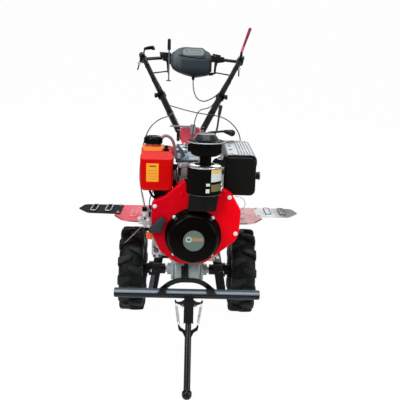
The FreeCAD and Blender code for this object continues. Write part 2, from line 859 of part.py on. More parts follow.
def make_cleaner_bracket():
    body = new_body("air_cleaner_bracket")
    low = S.crank_z + S.recoil_radius + 10
    sketch = sketch_on(body, "XZ", S.shroud_front - S.seat_gap)
    outline(sketch, [(-6, low - 4, 3), (102, low - 4, 3), (110, S.cleaner_base - S.seat_gap),
                     (-2, S.cleaner_base - S.seat_gap)])
    pad(body, sketch, 44)


make_cleaner()
make_bowl()
make_cleaner_bracket()


# ------------------------------------------------------------------ muffler
def make_muffler():
    body = new_body("muffler")
    block(body, (S.muffler_right, S.muffler_left), (S.muffler_front, S.muffler_back),
          (S.muffler_base, S.muffler_top), S.muffler_round)
    round_edges(body, 9, lambda edge: edge.BoundBox.YLength < 0.1)
    outlet = sketch_on(body, "YZ", S.muffler_left - 4)
    circle(outlet, -262, 504, 15)
    pad(body, outlet, 28)


def make_heat_shield():
    """A thin perforated cover that hugs the muffler's two sides; its top rises to the rear."""
    body = new_body("muffler_heat_shield")
    wall, gap = S.shield_wall, S.seat_gap
    x0, x1 = S.muffler_right - gap, S.muffler_left + gap
    y0, y1 = S.muffler_front + 8, S.muffler_back - 8
    low = S.muffler_top - S.shield_skirt
    bend = S.muffler_round
    ends = []
    for y, top in ((y0, S.muffler_top + S.shield_gap), (y1, S.muffler_top + S.shield_gap + S.shield_rise)):
        sketch = sketch_on(body, "XZ", y)
        outline(sketch, [
            (x0 - wall, low), (x0, low), (x0, top, bend), (x1, top, bend), (x1, low), (x1 + wall, low),
            (x1 + wall, top + wall, bend + wall), (x0 - wall, top + wall, bend + wall),
        ])
        ends.append(sketch)
    loft(body, ends)


make_muffler()
make_heat_shield()


# ------------------------------------------------------------------ front frame
def make_rails():
    """Two bent, splayed steel straps, from the bumper up to the engine's feet and back to the gearbox."""
    body = new_body("frame_rails")
    wall = S.rail_wall
    foot = S.bumper_y + S.bumper_radius + S.seat_gap
    top = S.engine_base - S.seat_gap
    splay = S.rail_splay
    sketch = sketch_on(body, "YZ", S.rail_inner - splay)
    low = S.bumper_z
    outline(sketch, [
        (foot, low - 14), (foot + wall, low - 14), (foot + wall, low + 14, 22), (foot + wall + 42, top - wall, 18),
        (S.rail_back, top - wall), (S.rail_back, top), (foot + 38, top, 24), (foot, low + 16, 28),
    ])
    strap = pad(body, sketch, S.rail_width + splay * 2)
    trims = []
    under = low - 15
    inner, outer = S.rail_inner, S.rail_inner + S.rail_width
    for corners in (
        [(outer + splay, under), (outer + splay + 1, top + 1), (outer - splay, top + 1)],
        [(inner - splay - 1, under), (inner + splay, under), (inner - splay, top + 1), (inner - splay - 1, top + 1)],
    ):
        trim = sketch_on(body, "XZ", foot - 4)
        outline(trim, corners)
        trims.append(pocket(body, trim, S.rail_back - foot + 10))
    bed = sketch_on(body, "XY", top - wall)
    outline(bed, box_corners(0, S.bed_front, S.rail_inner + 1, S.rail_back))
    plate = pad(body, bed, wall)
    hole = sketch_on(body, "XZ", foot - 4)
    circle(hole, S.rail_inner + S.rail_width * 0.4, S.bumper_z + 80, S.rail_hole_radius)
    through = pocket(body, hole, 60)
    mirror(body, [strap, *trims, plate, through])


def make_bumper():
    body = new_body("bumper_tube")
    sketch = sketch_on(body, "XY", S.bumper_z, (0, S.bumper_y))
    half = S.bumper_half
    r = S.bumper_radius
    outline(sketch, [(-half, 0), (half, 0), (half, r, 5), (-half, r, 5)])
    revolve(body, sketch, "H_Axis")


def make_arch():
    """The flat-bar hoop over the middle of the bumper."""
    body = new_body("bumper_arch")
    sketch = sketch_on(body, "XZ", S.bumper_y + S.arch_wall / 2)
    low = S.bumper_z + S.bumper_radius + S.seat_gap
    half = S.arch_half
    band = S.arch_band
    outline(sketch, [
        (-half, low), (-half + band + 10, low), (half * -0.4, S.arch_top - band, 95),
        (half * 0.4, S.arch_top - band, 95), (half - band - 10, low), (half, low),
        (half * 0.52, S.arch_top, 110), (half * -0.52, S.arch_top, 110),
    ])
    pad(body, sketch, S.arch_wall)


make_rails()
make_bumper()
make_arch()


# ------------------------------------------------------------------ prop stand
lean = math.radians(S.stand_lean.value)
leg_down = V(0, -math.sin(lean), -math.cos(lean))
stand_pivot = point(S.stand_x, S.stand_pivot_y, S.stand_pivot_z)


def beside_leg(forward, down):
    """The y and z of a point forward of the lowered leg's axis and down along it from the pivot."""
    ahead, level = sine(S.stand_lean), cosine(S.stand_lean)
    return (S.stand_pivot_y - ahead * down - level * forward, S.stand_pivot_z - level * down + ahead * forward)


def make_stand_bracket():
    """A channel under the bumper, open to the rear, with a wing each side that ends in a spring hook."""
    body = new_body("stand_bracket")
    x = S.stand_x
    half = S.stand_channel_half
    wall = S.stand_channel_wall
    length = S.stand_channel_length
    inner = S.stand_leg_radius + S.seat_gap
    outer = inner + wall
    back = S.bumper_y + S.bumper_radius - 2
    sketch = sketch_on(body, "YZ", x)
    outline(sketch, [
        (S.bumper_y - S.bumper_radius, S.bumper_z), (back, S.bumper_z), (back, S.stand_pivot_z - 10, 8),
        beside_leg(-S.stand_leg_radius - 1, length) + (8,), beside_leg(outer, length), beside_leg(outer, -10),
    ])
    cheeks = pad(body, sketch, half * 2, middle=True)
    saddle = sketch_on(body, "YZ", x)
    circle(saddle, S.bumper_y, S.bumper_z, S.bumper_radius + S.seat_gap)
    pocket(body, saddle, half * 3, middle=True)
    slot = sketch_on(body, "YZ", x)
    roof = S.stand_pivot_z + S.stand_leg_radius + 2
    outline(slot, [
        beside_leg(inner, length + 8), beside_leg(inner, -12), (S.stand_pivot_y - 6, roof),
        (back + 8, roof), (back + 8, S.stand_pivot_z - 60), beside_leg(-S.stand_leg_radius - 20, length + 8),
    ])
    pocket(body, slot, (half - wall) * 2, middle=True)
    front = beside_leg(outer, -10)[0] + wall
    top = S.bumper_z - S.bumper_radius
    reach = S.hook_half
    for side in (1, -1):
        wing = sketch_on(body, "XZ", front)
        shape = [(half - 1, top), (half - 1, top - 26), (reach - 8, top - 16), (reach + 2, top - 14, 3),
                 (reach + 6, top - 1, 2), (reach, top + 1, 2), (reach - 4, top - 8, 2), (half + 10, top - 6, 8),
                 (half + 4, top)]
        outline(wing, [(x + as_size(across) * side, *rest) for across, *rest in shape])
        pad(body, wing, wall)
    bore = sketch_on(body, "YZ", x)
    circle(bore, S.stand_pivot_y, S.stand_pivot_z, S.stand_pin_radius)
    pocket(body, bore, half * 3, middle=True)


def make_stand_leg():
    """The leg, modelled straight down from its pivot: a round bar with a ball foot and spring wings."""
    body = new_body("stand_leg")
    r = S.stand_leg_radius
    foot = S.stand_length
    ball = S.stand_foot_radius
    sketch = sketch_on(body, "XZ")
    outline(sketch, [
        (0, r - 1), (r - 1, r - 1, r - 2), (r - 1, -96), (r, -100), (r, ball * 0.9 - foot, 6),
        (ball, ball * 0.5 - foot, 8), (ball, -foot - ball, ball - 0.5), (0, -foot - ball),
    ])
    revolve(body, sketch, "V_Axis")
    pin = sketch_on(body, "YZ")
    circle(pin, 0, 0, S.stand_pin_radius - S.journal_gap)
    pad(body, pin, S.stand_channel_half * 2 + 8, middle=True)
    for side in (1, -1):
        wing = sketch_on(body, "XZ", 3)
        shape = [(r - 3, -130), (r - 3, -98), (r + 8, -92, 4), (30, -86, 3), (36, -76, 2), (41, -80, 2),
                 (37, -98, 8), (r + 9, -106, 8)]
        outline(wing, [(as_size(across) * side, *rest) for across, *rest in shape])
        pad(body, wing, 6)


def make_springs():
    """The two tension springs that hold the leg forward or folded, as closed round bars."""
    springs = []
    top = S.bumper_z - S.bumper_radius
    front = beside_leg(S.stand_leg_radius + S.seat_gap + S.stand_channel_wall, -10)[0]
    for side in (1, -1):
        upper = point(S.stand_x + (S.hook_half - 2) * side, front - S.stand_channel_wall / 2, top - 16.5)
        lower = stand_pivot + leg_down * 74.5 + V(38 * side, 0, 0)
        along = (lower - upper).normalize()
        springs.append(Part.makeCylinder(5, (lower - upper).Length, upper, along))
    add_feature("stand_springs", springs)


make_stand_bracket()
make_stand_leg()
make_springs()


# ------------------------------------------------------------------ fenders
def make_fender(side):
    """The red inner plate, with a folded front lip and a pressed rib."""
    body = new_body(f"fender_{side_name(side)}")
    z = S.fender_z
    inner, joint = S.fender_inner * side, S.fender_joint * side
    sketch = sketch_on(body, "XY", z)
    outline(sketch, [
        (inner, -160, 8), ((S.fender_joint - 52) * side, -150, 20), (joint, -60, 20), (joint, 118, 8),
        (inner, 124, 4), (74 * side, 96), (74 * side, 20), (inner, -10),
    ])
    pad(body, sketch, S.fender_wall)
    rib = sketch_on(body, "XY", z + S.fender_wall)
    centre = (S.fender_inner + S.fender_joint) / 2 * side
    outline(rib, box_corners(centre - 13, -90, centre + 13, 70, 9))
    pad(body, rib, 5)
    face = (S.gearcase_half + S.seat_gap) * side
    drop = sketch_on(body, "YZ", face)
    outline(drop, box_corners(20, z - 34, 96, z + S.fender_wall, 3))
    pad(body, drop, 10, back=side < 0)


def make_extension(side):
    """The black outer plate, which tapers to a rounded point and carries two raised slotted straps."""
    body = new_body(f"fender_extension_{side_name(side)}")
    z = S.fender_z + S.fender_wall
    joint = (S.fender_joint - 24) * side
    sketch = sketch_on(body, "XY", z)
    outline(sketch, [
        (joint, -52, 6), ((S.fender_tip - 52) * side, -42, 26), (S.fender_tip * side, 28, 22),
        ((S.fender_tip - 18) * side, 106, 24), (joint, 112, 6),
    ])
    pad(body, sketch, S.fender_wall)
    for share in (0.2, 0.58):
        x0 = (S.fender_joint + (S.fender_tip - S.fender_joint) * share) * side
        strap = sketch_on(body, "XY", z + S.fender_wall)
        outline(strap, box_corners(x0 - 13, -24, x0 + 13, 92, 8))
        pad(body, strap, 6)
        slot = sketch_on(body, "XY", z + S.fender_wall + 6)
        outline(slot, box_corners(x0 - 5, -10, x0 + 5, 78, 4))
        pocket(body, slot, 5)


for side in (1, -1):
    make_fender(side)
    make_extension(side)


# ------------------------------------------------------------------ handlebar
def make_seat():
    """The red casting on the gearbox's top that carries the handlebar's turntable."""
    body = new_body("handlebar_seat")
    y = S.seat_y
    base = S.gearcase_top + S.gearcase_rib + S.seat_gap
    foot = sketch_on(body, "XY", base)
    outline(foot, box_corners(-56, 70, 56, 190, 16))
    pad(body, foot, 14)
    web = sketch_on(body, "YZ")
    outline(web, [(80, base + 13), (186, base + 13), (y + 44, S.swivel_z - 16), (y - 44, S.swivel_z - 16)])
    pad(body, web, 56, middle=True)
    table = sketch_on(body, "XY", S.swivel_z - 16)
    circle(table, 0, y, S.seat_radius)
    pad(body, table, 16 - S.seat_gap)


def make_swivel_head():
    """The turntable's upper half: a plate with two cheeks that end in toothed discs."""
    body = new_body("swivel_head")
    y, z = S.seat_y, S.swivel_z
    plate = sketch_on(body, "XY", z)
    circle(plate, 0, y, S.seat_radius)
    pad(body, plate, 14)
    column = sketch_on(body, "XZ", y + 26)
    top = S.disc_z + S.disc_radius - 4
    outline(column, [(-34, z + 13), (34, z + 13), (44, S.disc_z - 30), (44, top, 8), (-44, top, 8),
                     (-44, S.disc_z - 30)])
    pad(body, column, 52)
    barrel = sketch_on(body, "YZ")
    circle(barrel, y + 8, S.disc_z, S.disc_radius - 6)
    pad(body, barrel, (S.disc_half - 8) * 2, middle=True)


def make_lock():
    """The swivel's locking block and its lever rod."""
    body = new_body("swivel_lock")
    face = S.seat_y - 26 - S.seat_gap
    top = S.disc_z + S.disc_radius + 14
    block(body, (-2, 24), (face - 24, face), (top - 44, top), 4)
    rod = sketch_on(body, "YZ", -1)
    circle(rod, face - 12, top - 9, 4)
    pad(body, rod, 96, back=True)


disc_centre = point(0, S.seat_y + 8, S.disc_z)
tube_foot = point(S.disc_half, S.seat_y + 34, S.disc_z + 14)
grip_front = point(S.grip_x, S.grip_y, S.grip_z)


def on_tube(share, side=1):
    """A point on a handlebar tube's line, from the toothed disc (0) to the bend at the grip (1)."""
    spot = tube_foot + (grip_front - tube_foot) * share
    return V(spot.x * side, spot.y, spot.z)


def grip_direction(side):
    return V(0.05 * side, 1, -math.sin(math.radians(S.grip_drop.value))).normalize()


def make_tubes():
    """Lower sleeves welded to their toothed discs, upper tubes clamped in them, and rubber grips."""
    sleeves, uppers, grips = [], [], []
    r = S.tube_radius.value
    share = S.clamp_share.value
    for side in (1, -1):
        sleeve = swept([on_tube(0, side), on_tube(share, side)], S.sleeve_radius.value)
        inner = S.disc_half.value - 7
        rim = disc_centre + V((inner if side > 0 else -inner - 14), 0, 0)
        disc = Part.makeCylinder(S.disc_radius.value, 14, rim, V(1, 0, 0))
        sleeves.append(sleeve.fuse(disc).removeSplitter())
        bend = on_tube(1, side)
        reach = grip_direction(side)
        start = bend + reach * 40
        uppers.append(swept([on_tube(share, side), bend, start + reach * (S.hand_grip_length.value - 4)], r, 45))
        rubber = Part.makeCylinder(S.hand_grip_radius.value, S.hand_grip_length.value, start, reach)
        core = Part.makeCylinder(r + S.seat_gap.value, S.hand_grip_length.value - 3, start, reach)
        grips.append(rubber.cut(core))
    add_feature("handlebar_lower_tubes", sleeves)
    add_feature("handlebar_upper_tubes", uppers)
    add_feature("hand_grips", grips)


def make_clamps():
    """The sleeve clamps with their star knobs."""
    clamps = []
    for side in (1, -1):
        at = on_tube(S.clamp_share.value, side)
        along = (on_tube(1, side) - on_tube(0, side)).normalize()
        ring = Part.makeCylinder(S.sleeve_radius.value + 6, 26, at - along * 22, along)
        outward = (along.cross(V(0, 0, 1)) * side).normalize()
        stem = Part.makeCylinder(5, 34, at - along * 9, outward)
        knob = Part.makeCylinder(12, 11, at - along * 9 + outward * 25, outward)
        bore = Part.makeCylinder(S.sleeve_radius.value + S.seat_gap.value, 60, at - along * 40, along)
        clamps.append(ring.fuse([stem, knob]).cut(bore).removeSplitter())
    add_feature("tube_clamps", clamps)


def make_cross_tubes():
    """The cross tube's two halves, from the handlebar tubes to the panel's brackets."""
    halves = []
    for side in (1, -1):
        inner = point((S.bracket_end + 1) * side, S.cross_y, S.cross_z)
        outer = on_tube(S.cross_share.value, side)
        halves.append(swept([outer, inner + V(18 * side, 0, 0), inner], S.cross_radius.value))
    tubes = [swept([on_tube(0.5, side), on_tube(1, side)], S.tube_radius.value + S.seat_gap.value) for side in (1, -1)]
    stays = []
    for side in (1, -1):
        inner = point(S.stay_end * side, S.cross_y - 6 - S.seat_gap, S.stay_z)
        outer = on_tube(S.stay_share.value, side)
        stays.append(swept([outer, inner + V(14 * side, 0, 0), inner], 4))
    bars = [bar.cut(tube) for bar, tube in zip(halves + stays, tubes + tubes)]
    add_feature("cross_tubes", bars)


def make_panel():
    """The moulded control panel: a rounded shell with a sloping front brow and an inset in its top."""
    body = new_body("control_panel")
    base, top = S.panel_base, S.panel_top
    half = S.panel_half
    sketch = sketch_on(body, "XZ", S.panel_back)
    outline(sketch, [
        (half * -0.52, base + 26, 20), (half * 0.1, base, 25), (half * 0.52, base + 8, 20), (half * 0.85, base + 30, 20),
        (half, top - 62, 30), (half * 0.93, top - 30, 20), (half * 0.48, top - 7, 30), (half * -0.48, top, 30),
        (half * -0.93, top - 22, 20), (-half, top - 60, 30), (half * -0.89, base + 50, 20),
    ])
    pad(body, sketch, S.panel_back - S.panel_front)
    round_edges(body, 8, lambda edge: edge.BoundBox.YLength < 0.1)
    slope = sketch_on(body, "YZ")
    reach = S.panel_front + S.panel_slope_depth
    outline(slope, [(S.panel_front - 1, top - S.panel_slope), (reach, top + 1), (S.panel_front - 1, top + 1)])
    pocket(body, slope, half * 2 + 4, middle=True)
    inset = sketch_on(body, "XY", top)
    outline(inset, box_corners(half * -0.44, reach + 7, half * 0.4, S.panel_back - 12, 6))
    pocket(body, inset, 3)
    outlet = sketch_on(body, "XY", base + 8)
    circle(outlet, half * 0.09, S.panel_front + 36, 9)
    pad(body, outlet, 20, back=True)


def make_panel_brackets():
    """Flat steel ears from the panel's sides out to the cross tube and down to the stays."""
    body = new_body("panel_brackets")
    half = S.panel_half - 0.5
    z = S.cross_z
    end = S.bracket_end - S.seat_gap
    y = S.cross_y + 6
    for side in (1, -1):
        sketch = sketch_on(body, "XZ", y)
        shape = [(half, z + 34, 3), (end, z + 26, 3), (end, z - 14, 3), (half + 26, z - 16, 6), (half + 20, S.stay_z - 8, 3),
                 (half + 8, S.stay_z - 8, 3), (half + 12, z - 10, 6), (half, z)]
        outline(sketch, [(as_size(across) * side, *rest) for across, *rest in shape])
        pad(body, sketch, 8)


def handle(base, tip, start_radius, end_radius):
    """A tapered hand lever with a round end."""
    along = tip - base
    cone = Part.makeCone(start_radius, end_radius, along.Length, base, along)
    return cone.fuse(Part.makeSphere(end_radius, tip)).removeSplitter()


def make_levers():
    bend = on_tube(1, 1)
    collar_at = on_tube(0.96, 1)
    along = (on_tube(1, 1) - on_tube(0, 1)).normalize()
    gap = S.tube_radius.value + S.seat_gap.value
    collar = Part.makeCylinder(gap + 6, 26, collar_at - along * 13, along)
    collar = collar.fuse(swept([collar_at, collar_at + V(6, -8, 46)], 7))
    collar = collar.cut(Part.makeCylinder(gap, 60, collar_at - along * 30, along))
    add_feature("clutch_lever_bracket", [collar.removeSplitter()])
    base = collar_at + V(6, -8, 46)
    add_feature("clutch_lever", [handle(base, base + V(40, -12, 124), 6, 9).cut(collar)])
    levers = []
    for side in (1, -1):
        at = on_tube(1, side) + grip_direction(side) * 21
        reach = grip_direction(side)
        ring = Part.makeCylinder(gap + 4, 14, at, reach)
        blade = swept([at + reach * 7, at + V(2 * side, 12, -40), at + V(10 * side, 38, -92)], 5, 12)
        knob = Part.makeSphere(9, at + V(3 * side, 14, -44))
        levers.append(ring.fuse([blade, knob]).cut(Part.makeCylinder(gap, 40, at - reach * 10, reach)).removeSplitter())
    add_feature("hand_levers", levers)
    at = on_tube(0.95, -1)
    axis = (on_tube(1, -1) - on_tube(0, -1)).normalize()
    ring = Part.makeCylinder(gap + 5, 16, at - axis * 8, axis)
    arm = swept([at, at + V(4, 0, 46), at + V(52, 0, 52)], 4, 10)
    thumb = Part.makeCylinder(8, 18, at + V(46, 0, 52), V(1, 0, 0))
    bore = Part.makeCylinder(gap, 40, at - axis * 20, axis)
    add_feature("throttle_lever", [ring.fuse([arm, thumb]).cut(bore).removeSplitter()])


def make_shift_lever():
    """The shift lever on the panel's right bracket: a long rod with a grip and a foot for its link."""
    x, y = S.shift_x.value, S.shift_y.value
    rod = Part.makeCylinder(4, 168, V(x, y, 835))
    foot = Part.makeBox(28, 8, 6, V(x - 14, y - 4, 832))
    bracket_face = S.cross_y.value - 2 - S.seat_gap.value
    pin = Part.makeCylinder(6, bracket_face - y, V(x, y, S.cross_z.value), V(0, 1, 0))
    grip = Part.makeCylinder(8.5, 50, V(x, y, 1003))
    knob = Part.makeSphere(8.5, V(x, y, 1053))
    add_feature("shift_lever", [rod.fuse([foot, pin, grip, knob]).removeSplitter()])


make_seat()
make_swivel_head()
make_lock()
make_tubes()
make_clamps()
make_cross_tubes()
make_panel()
make_panel_brackets()
make_levers()
make_shift_lever()


# ------------------------------------------------------------------ gearbox controls, hitch and governor
def make_gear_levers():
    top = S.gearcase_top.value + S.seat_gap.value
    gear = swept([V(36, 24, top + 0.5), V(40, 20, 560), V(70, 4, 640), V(160, 0, 650)], 5, 30)
    knob = handle(V(148, 0, 649), V(183, 0, 642), 7, 15)
    add_feature("gear_lever", [gear.fuse(knob).removeSplitter()])
    lever = swept([V(52, 60, top + 0.5), V(60, 70, 500), V(126, 188, 635), V(134, 198, 700)], 4.5, 40)
    grip = handle(V(134, 198, 700), V(140, 204, 740), 7, 9)
    add_feature("reverse_lever", [lever.fuse(grip).removeSplitter()])


def make_hitch():
    """The rear hitch: a fork with a vertical pin hole, bolted to the gearbox's back."""
    body = new_body("rear_hitch")
    face = S.gearcase_back + S.gearcase_rib + S.seat_gap
    low, high = 128, 212
    block(body, (-48, 48), (face, face + 14), (low, high), 8)
    block(body, (-32, 32), (face + 13, face + 84), (low + 8, high - 8), 4)
    gap = sketch_on(body, "YZ")
    outline(gap, box_corners(face + 26, low + 22, face + 90, high - 22))
    pocket(body, gap, 70, middle=True)
    hole = sketch_on(body, "XY", high)
    circle(hole, 0, face + 58, S.hitch_pin_radius)
    pocket(body, hole, high - low)


def make_governor():
    """The governor housing on the engine's right side, with its speed plate."""
    body = new_body("governor_unit")
    side = S.crank_x - S.crankcase_radius
    shell = sketch_on(body, "XZ", -238)
    outline(shell, [(side - 48, 290, 8), (side + 1.5, 294), (side + 9.5, 358), (side - 48, 364, 8)])
    pad(body, shell, 84)
    block(body, (side - 82, side - 48), (-306, -301), (288, 372), 6)
    block(body, (side - 63, side - 46), (-306, -301), (258, 292), 3)
    knob = new_body("speed_knob")
    stem = sketch_on(knob, "XZ", -306 - S.seat_gap)
    circle(stem, side - 54, 268, 4)
    pad(knob, stem, 18)
    ball = sketch_on(knob, "XZ", -322)
    circle(ball, side - 54, 262, 11)
    pad(knob, ball, 16)


def make_strut():
    """The flat strut in front of the axle case, up to the engine bed."""
    body = new_body("bed_strut")
    front = S.axle_case_radius + S.seat_gap
    block(body, (-14, 6), (-front - 8, -front), (-24, S.engine_base - S.rail_wall - S.seat_gap * 2), 3)


make_gear_levers()
make_hitch()
make_governor()
make_strut()


# ------------------------------------------------------------------ cables
CABLES = {
    "throttle_cable": [(-272.6, 827.7, 979), (-237, 730, 922), (-191, 605, 851), (-151, 494, 798), (-111, 384, 730),
                       (-86, 300, 698), (-104, 200, 690), (-150, 80, 684), (-188, -40, 650), (-206, -130, 570),
                       (-207, -220, 480), (-192, -290, 430), (-178, -303.5, 372.5)],
    "clutch_cable": [(269, 818, 971), (226, 699, 905), (191, 603, 852), (151, 494, 799), (111, 384, 731),
                     (78, 318, 720), (42, 240, 722), (20, 160, 690), (4, 70, 590), (0, 24, 500), (0, 12, 437.5)],
    "steering_cable": [(-106, 424, 722), (-50, 405, 708), (20, 365, 696), (84, 306, 692), (132, 230, 694),
                       (168, 140, 688), (200, 76, 664), (222, 42, 630), (226, 26, 590), (208, 24, 520),
                       (170, 26, 430), (128, 32, 360), (98, 40, 340), (66.5, 40, 340)],
    "panel_cable": [(10.6, 798, 839.4), (11, 792, 812), (17, 764, 774), (34, 708, 742), (68, 640, 730),
                    (112, 580, 752), (153, 555, 788)],
}


def make_cables():
    for name, route in CABLES.items():
        add_feature(name, [swept([V(*spot) for spot in route], S.cable_radius.value)])


make_cables()


# ------------------------------------------------------------------ checks, parking and export
def parked_angle():
    """The lean at which the wheels and the stand's foot touch one floor, in degrees."""
    foot = stand_pivot + leg_down * S.stand_length.value
    ahead, below = -foot.y, -foot.z
    reach = math.hypot(ahead, below)
    lift = S.wheel_radius.value - S.stand_foot_radius.value
    return math.degrees(math.atan2(below, ahead) - math.asin(lift / reach))


doc.recompute()
broken = [item.Name for item in doc.Objects if {"Invalid", "Error"} & set(item.State)]
broken += [item.Label for item in nodes if item.Shape.isNull() or not item.Shape.isValid()]
if broken:
    raise RuntimeError(f"these pieces failed: {broken}")

tilt = -parked_angle()
parked = FreeCAD.Placement(V(0, 0, S.wheel_radius.value), FreeCAD.Rotation(V(1, 0, 0), tilt))
lowered_leg = FreeCAD.Placement(stand_pivot, FreeCAD.Rotation(V(1, 0, 0), -S.stand_lean.value))
for item in nodes:
    item.Placement = parked.multiply(lowered_leg) if item.Label == "stand_leg" else parked
doc.recompute()

whole = FreeCAD.BoundBox()
for item in nodes:
    whole.add(item.Shape.optimalBoundingBox(False))
centred = FreeCAD.Placement(V(-whole.Center.x, -whole.Center.y, 0), FreeCAD.Rotation())
for item in nodes:
    item.Placement = centred.multiply(item.Placement)
doc.recompute()
axle = centred.multiply(parked).Base

os.makedirs("parts", exist_ok=True)
for item in nodes:
    item.Shape.exportStep(f"parts/{item.Label}.step")
print(f"{len(nodes)} pieces, lean {-tilt:.4f} deg, box {whole.XLength:.1f} x {whole.YLength:.1f} x {whole.ZMax:.1f}")
print(f"axle at x {axle.x:.3f}, y {axle.y:.3f}, z {axle.z:.3f}")
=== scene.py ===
# %% [markdown]
# # A walking power weeder, finished in Blender
#
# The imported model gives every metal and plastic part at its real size, on its own body.
# This lesson dresses that model: it sets the camera and the studio, builds a small kit for
# shaders and for Geometry Nodes, paints each part, and then makes the small things that a
# maker adds last, such as tyre lugs, bolts, springs and cables.

# %% Load the frame
import json
import math

import bmesh
import bpy
from mathutils import Matrix, Vector


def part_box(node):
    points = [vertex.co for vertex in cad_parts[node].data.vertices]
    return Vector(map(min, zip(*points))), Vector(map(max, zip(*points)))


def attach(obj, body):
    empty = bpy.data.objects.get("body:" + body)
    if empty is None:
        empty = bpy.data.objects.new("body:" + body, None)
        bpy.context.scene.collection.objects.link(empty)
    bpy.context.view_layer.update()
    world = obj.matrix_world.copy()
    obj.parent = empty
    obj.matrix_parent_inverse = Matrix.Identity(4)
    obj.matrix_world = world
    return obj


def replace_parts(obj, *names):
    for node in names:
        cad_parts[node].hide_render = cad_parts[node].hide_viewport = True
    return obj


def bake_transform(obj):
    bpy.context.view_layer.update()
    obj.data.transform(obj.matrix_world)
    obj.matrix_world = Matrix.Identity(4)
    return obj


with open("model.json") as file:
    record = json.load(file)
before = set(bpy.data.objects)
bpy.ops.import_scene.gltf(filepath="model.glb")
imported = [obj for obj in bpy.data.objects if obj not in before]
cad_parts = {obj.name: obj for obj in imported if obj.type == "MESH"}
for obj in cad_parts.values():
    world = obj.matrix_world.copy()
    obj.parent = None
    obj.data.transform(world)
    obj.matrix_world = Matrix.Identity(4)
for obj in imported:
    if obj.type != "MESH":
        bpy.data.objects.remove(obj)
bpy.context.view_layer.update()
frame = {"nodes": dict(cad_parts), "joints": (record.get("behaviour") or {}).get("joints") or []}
node = frame["nodes"]
joint = {item["name"]: item for item in frame["joints"]}
scene = bpy.context.scene

# %% [markdown]
# The machine leans back a little, because its front leg props its nose up. Its parts are
# easier to think of in its own upright axes, with the axle at the origin and sizes in
# millimetres. One matrix turns those into the frame's metres. The lean is read from the
# handlebar's turning axis, and the axle's place from the tyre, so nothing is measured twice.

# %% The machine's own axes
turn_axis = Vector(joint["handlebar_swivel"]["axis"])
lean = math.atan2(turn_axis.y, turn_axis.z)
tyre_low, tyre_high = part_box("tyre_left")
axle = Vector((0, (tyre_low.y + tyre_high.y) / 2, (tyre_low.z + tyre_high.z) / 2))
MACHINE = Matrix.Translation(axle) @ Matrix.Rotation(-lean, 4, "X") @ Matrix.Scale(0.001, 4)
FRONT, REAR, UP, DOWN, LEFT = (0, -1, 0), (0, 1, 0), (0, 0, 1), (0, 0, -1), (1, 0, 0)
SIDES = ((1, "left"), (-1, "right"))


def spot(x, y, z):
    """A point of the machine, in millimetres from the axle's middle, in the frame's metres."""
    return MACHINE @ Vector((x, y, z))


def way(x, y, z):
    """A direction of the machine, in the frame."""
    return (MACHINE.to_3x3() @ Vector((x, y, z))).normalized()


def upright_at(x, y):
    """A matrix that stands a shape's Z axis on the machine's, over a place on its floor plan."""
    return MACHINE @ Matrix.Translation((x, y, 0))


print("lean", round(math.degrees(lean), 2), "axle", [round(v, 4) for v in axle])

# %% [markdown]
# The camera stands low in front of the machine and looks slightly down on it, as a seller
# would show it. Its place is given in the machine's own axes.

# %% Camera
CAMERA_SPOT = (-13, -2550.4, 951.4)
YAW, PITCH, ROLL = math.radians(1.43), math.radians(13.62), math.radians(1.76)
LENS, SENSOR = 51.9, 36

forward = Vector((math.sin(YAW) * math.cos(PITCH), math.cos(YAW) * math.cos(PITCH), -math.sin(PITCH)))
level = Vector((math.cos(YAW), -math.sin(YAW), 0))
upright = level.cross(forward)
right = level * math.cos(ROLL) + upright * math.sin(ROLL)
above = upright * math.cos(ROLL) - level * math.sin(ROLL)
facing = Matrix((way(*right), way(*above), -way(*forward))).transposed().to_4x4()

camera_data = bpy.data.cameras.new("camera")
camera_data.lens, camera_data.sensor_width = LENS, SENSOR
camera = bpy.data.objects.new("camera", camera_data)
camera.matrix_world = Matrix.Translation(spot(*CAMERA_SPOT)) @ facing
scene.collection.objects.link(camera)
scene.camera = camera
print("camera at", [round(v, 3) for v in camera.location])

# %% [markdown]
# ## Shader kit
#
# A material is a tree of nodes, and each sum in it is a node too. Linking those one by one
# hides what the sum says. A small class wraps a socket, and its operators add Math nodes, so
# that a sum in the tree reads as a plain sum in the script.

# %% Sockets that can be added and multiplied


class Wire:
    """The value that comes out of a socket."""

    def __init__(self, tree, socket):
        self.tree, self.socket = tree, socket

    def sum_with(self, operation, other):
        item = self.tree.nodes.new("ShaderNodeMath")
        item.operation = operation
        for slot, value in zip(item.inputs, (self, other)):
            plug(self.tree, slot, value)
        return Wire(self.tree, item.outputs[0])

    def __add__(self, other):
        return self.sum_with("ADD", other)

    __radd__ = __add__

    def __mul__(self, other):
        return self.sum_with("MULTIPLY", other)


def plug(tree, slot, value):
    """Links a wire to a socket, or sets the socket's own value."""
    if isinstance(value, Wire):
        tree.links.new(value.socket, slot)
    else:
        slot.default_value = value


def tone(colour, share=1.0, lift=0.0):
    """A colour for a socket, scaled by a share and lifted towards white."""
    return (*[min(1, c * share + lift) for c in colour], 1)


print("a dark tone of mid grey:", tone((0.5, 0.5, 0.5), 0.5))

# %% [markdown]
# A finish is one material with one Principled shader. Its methods are the things that vary a
# real finish: noise, a band cut out of it, a share along an axis, a blend of two colours, and
# a bump. Everything is placed by object coordinates, so that no piece needs a UV map.

# %% One material and what varies it


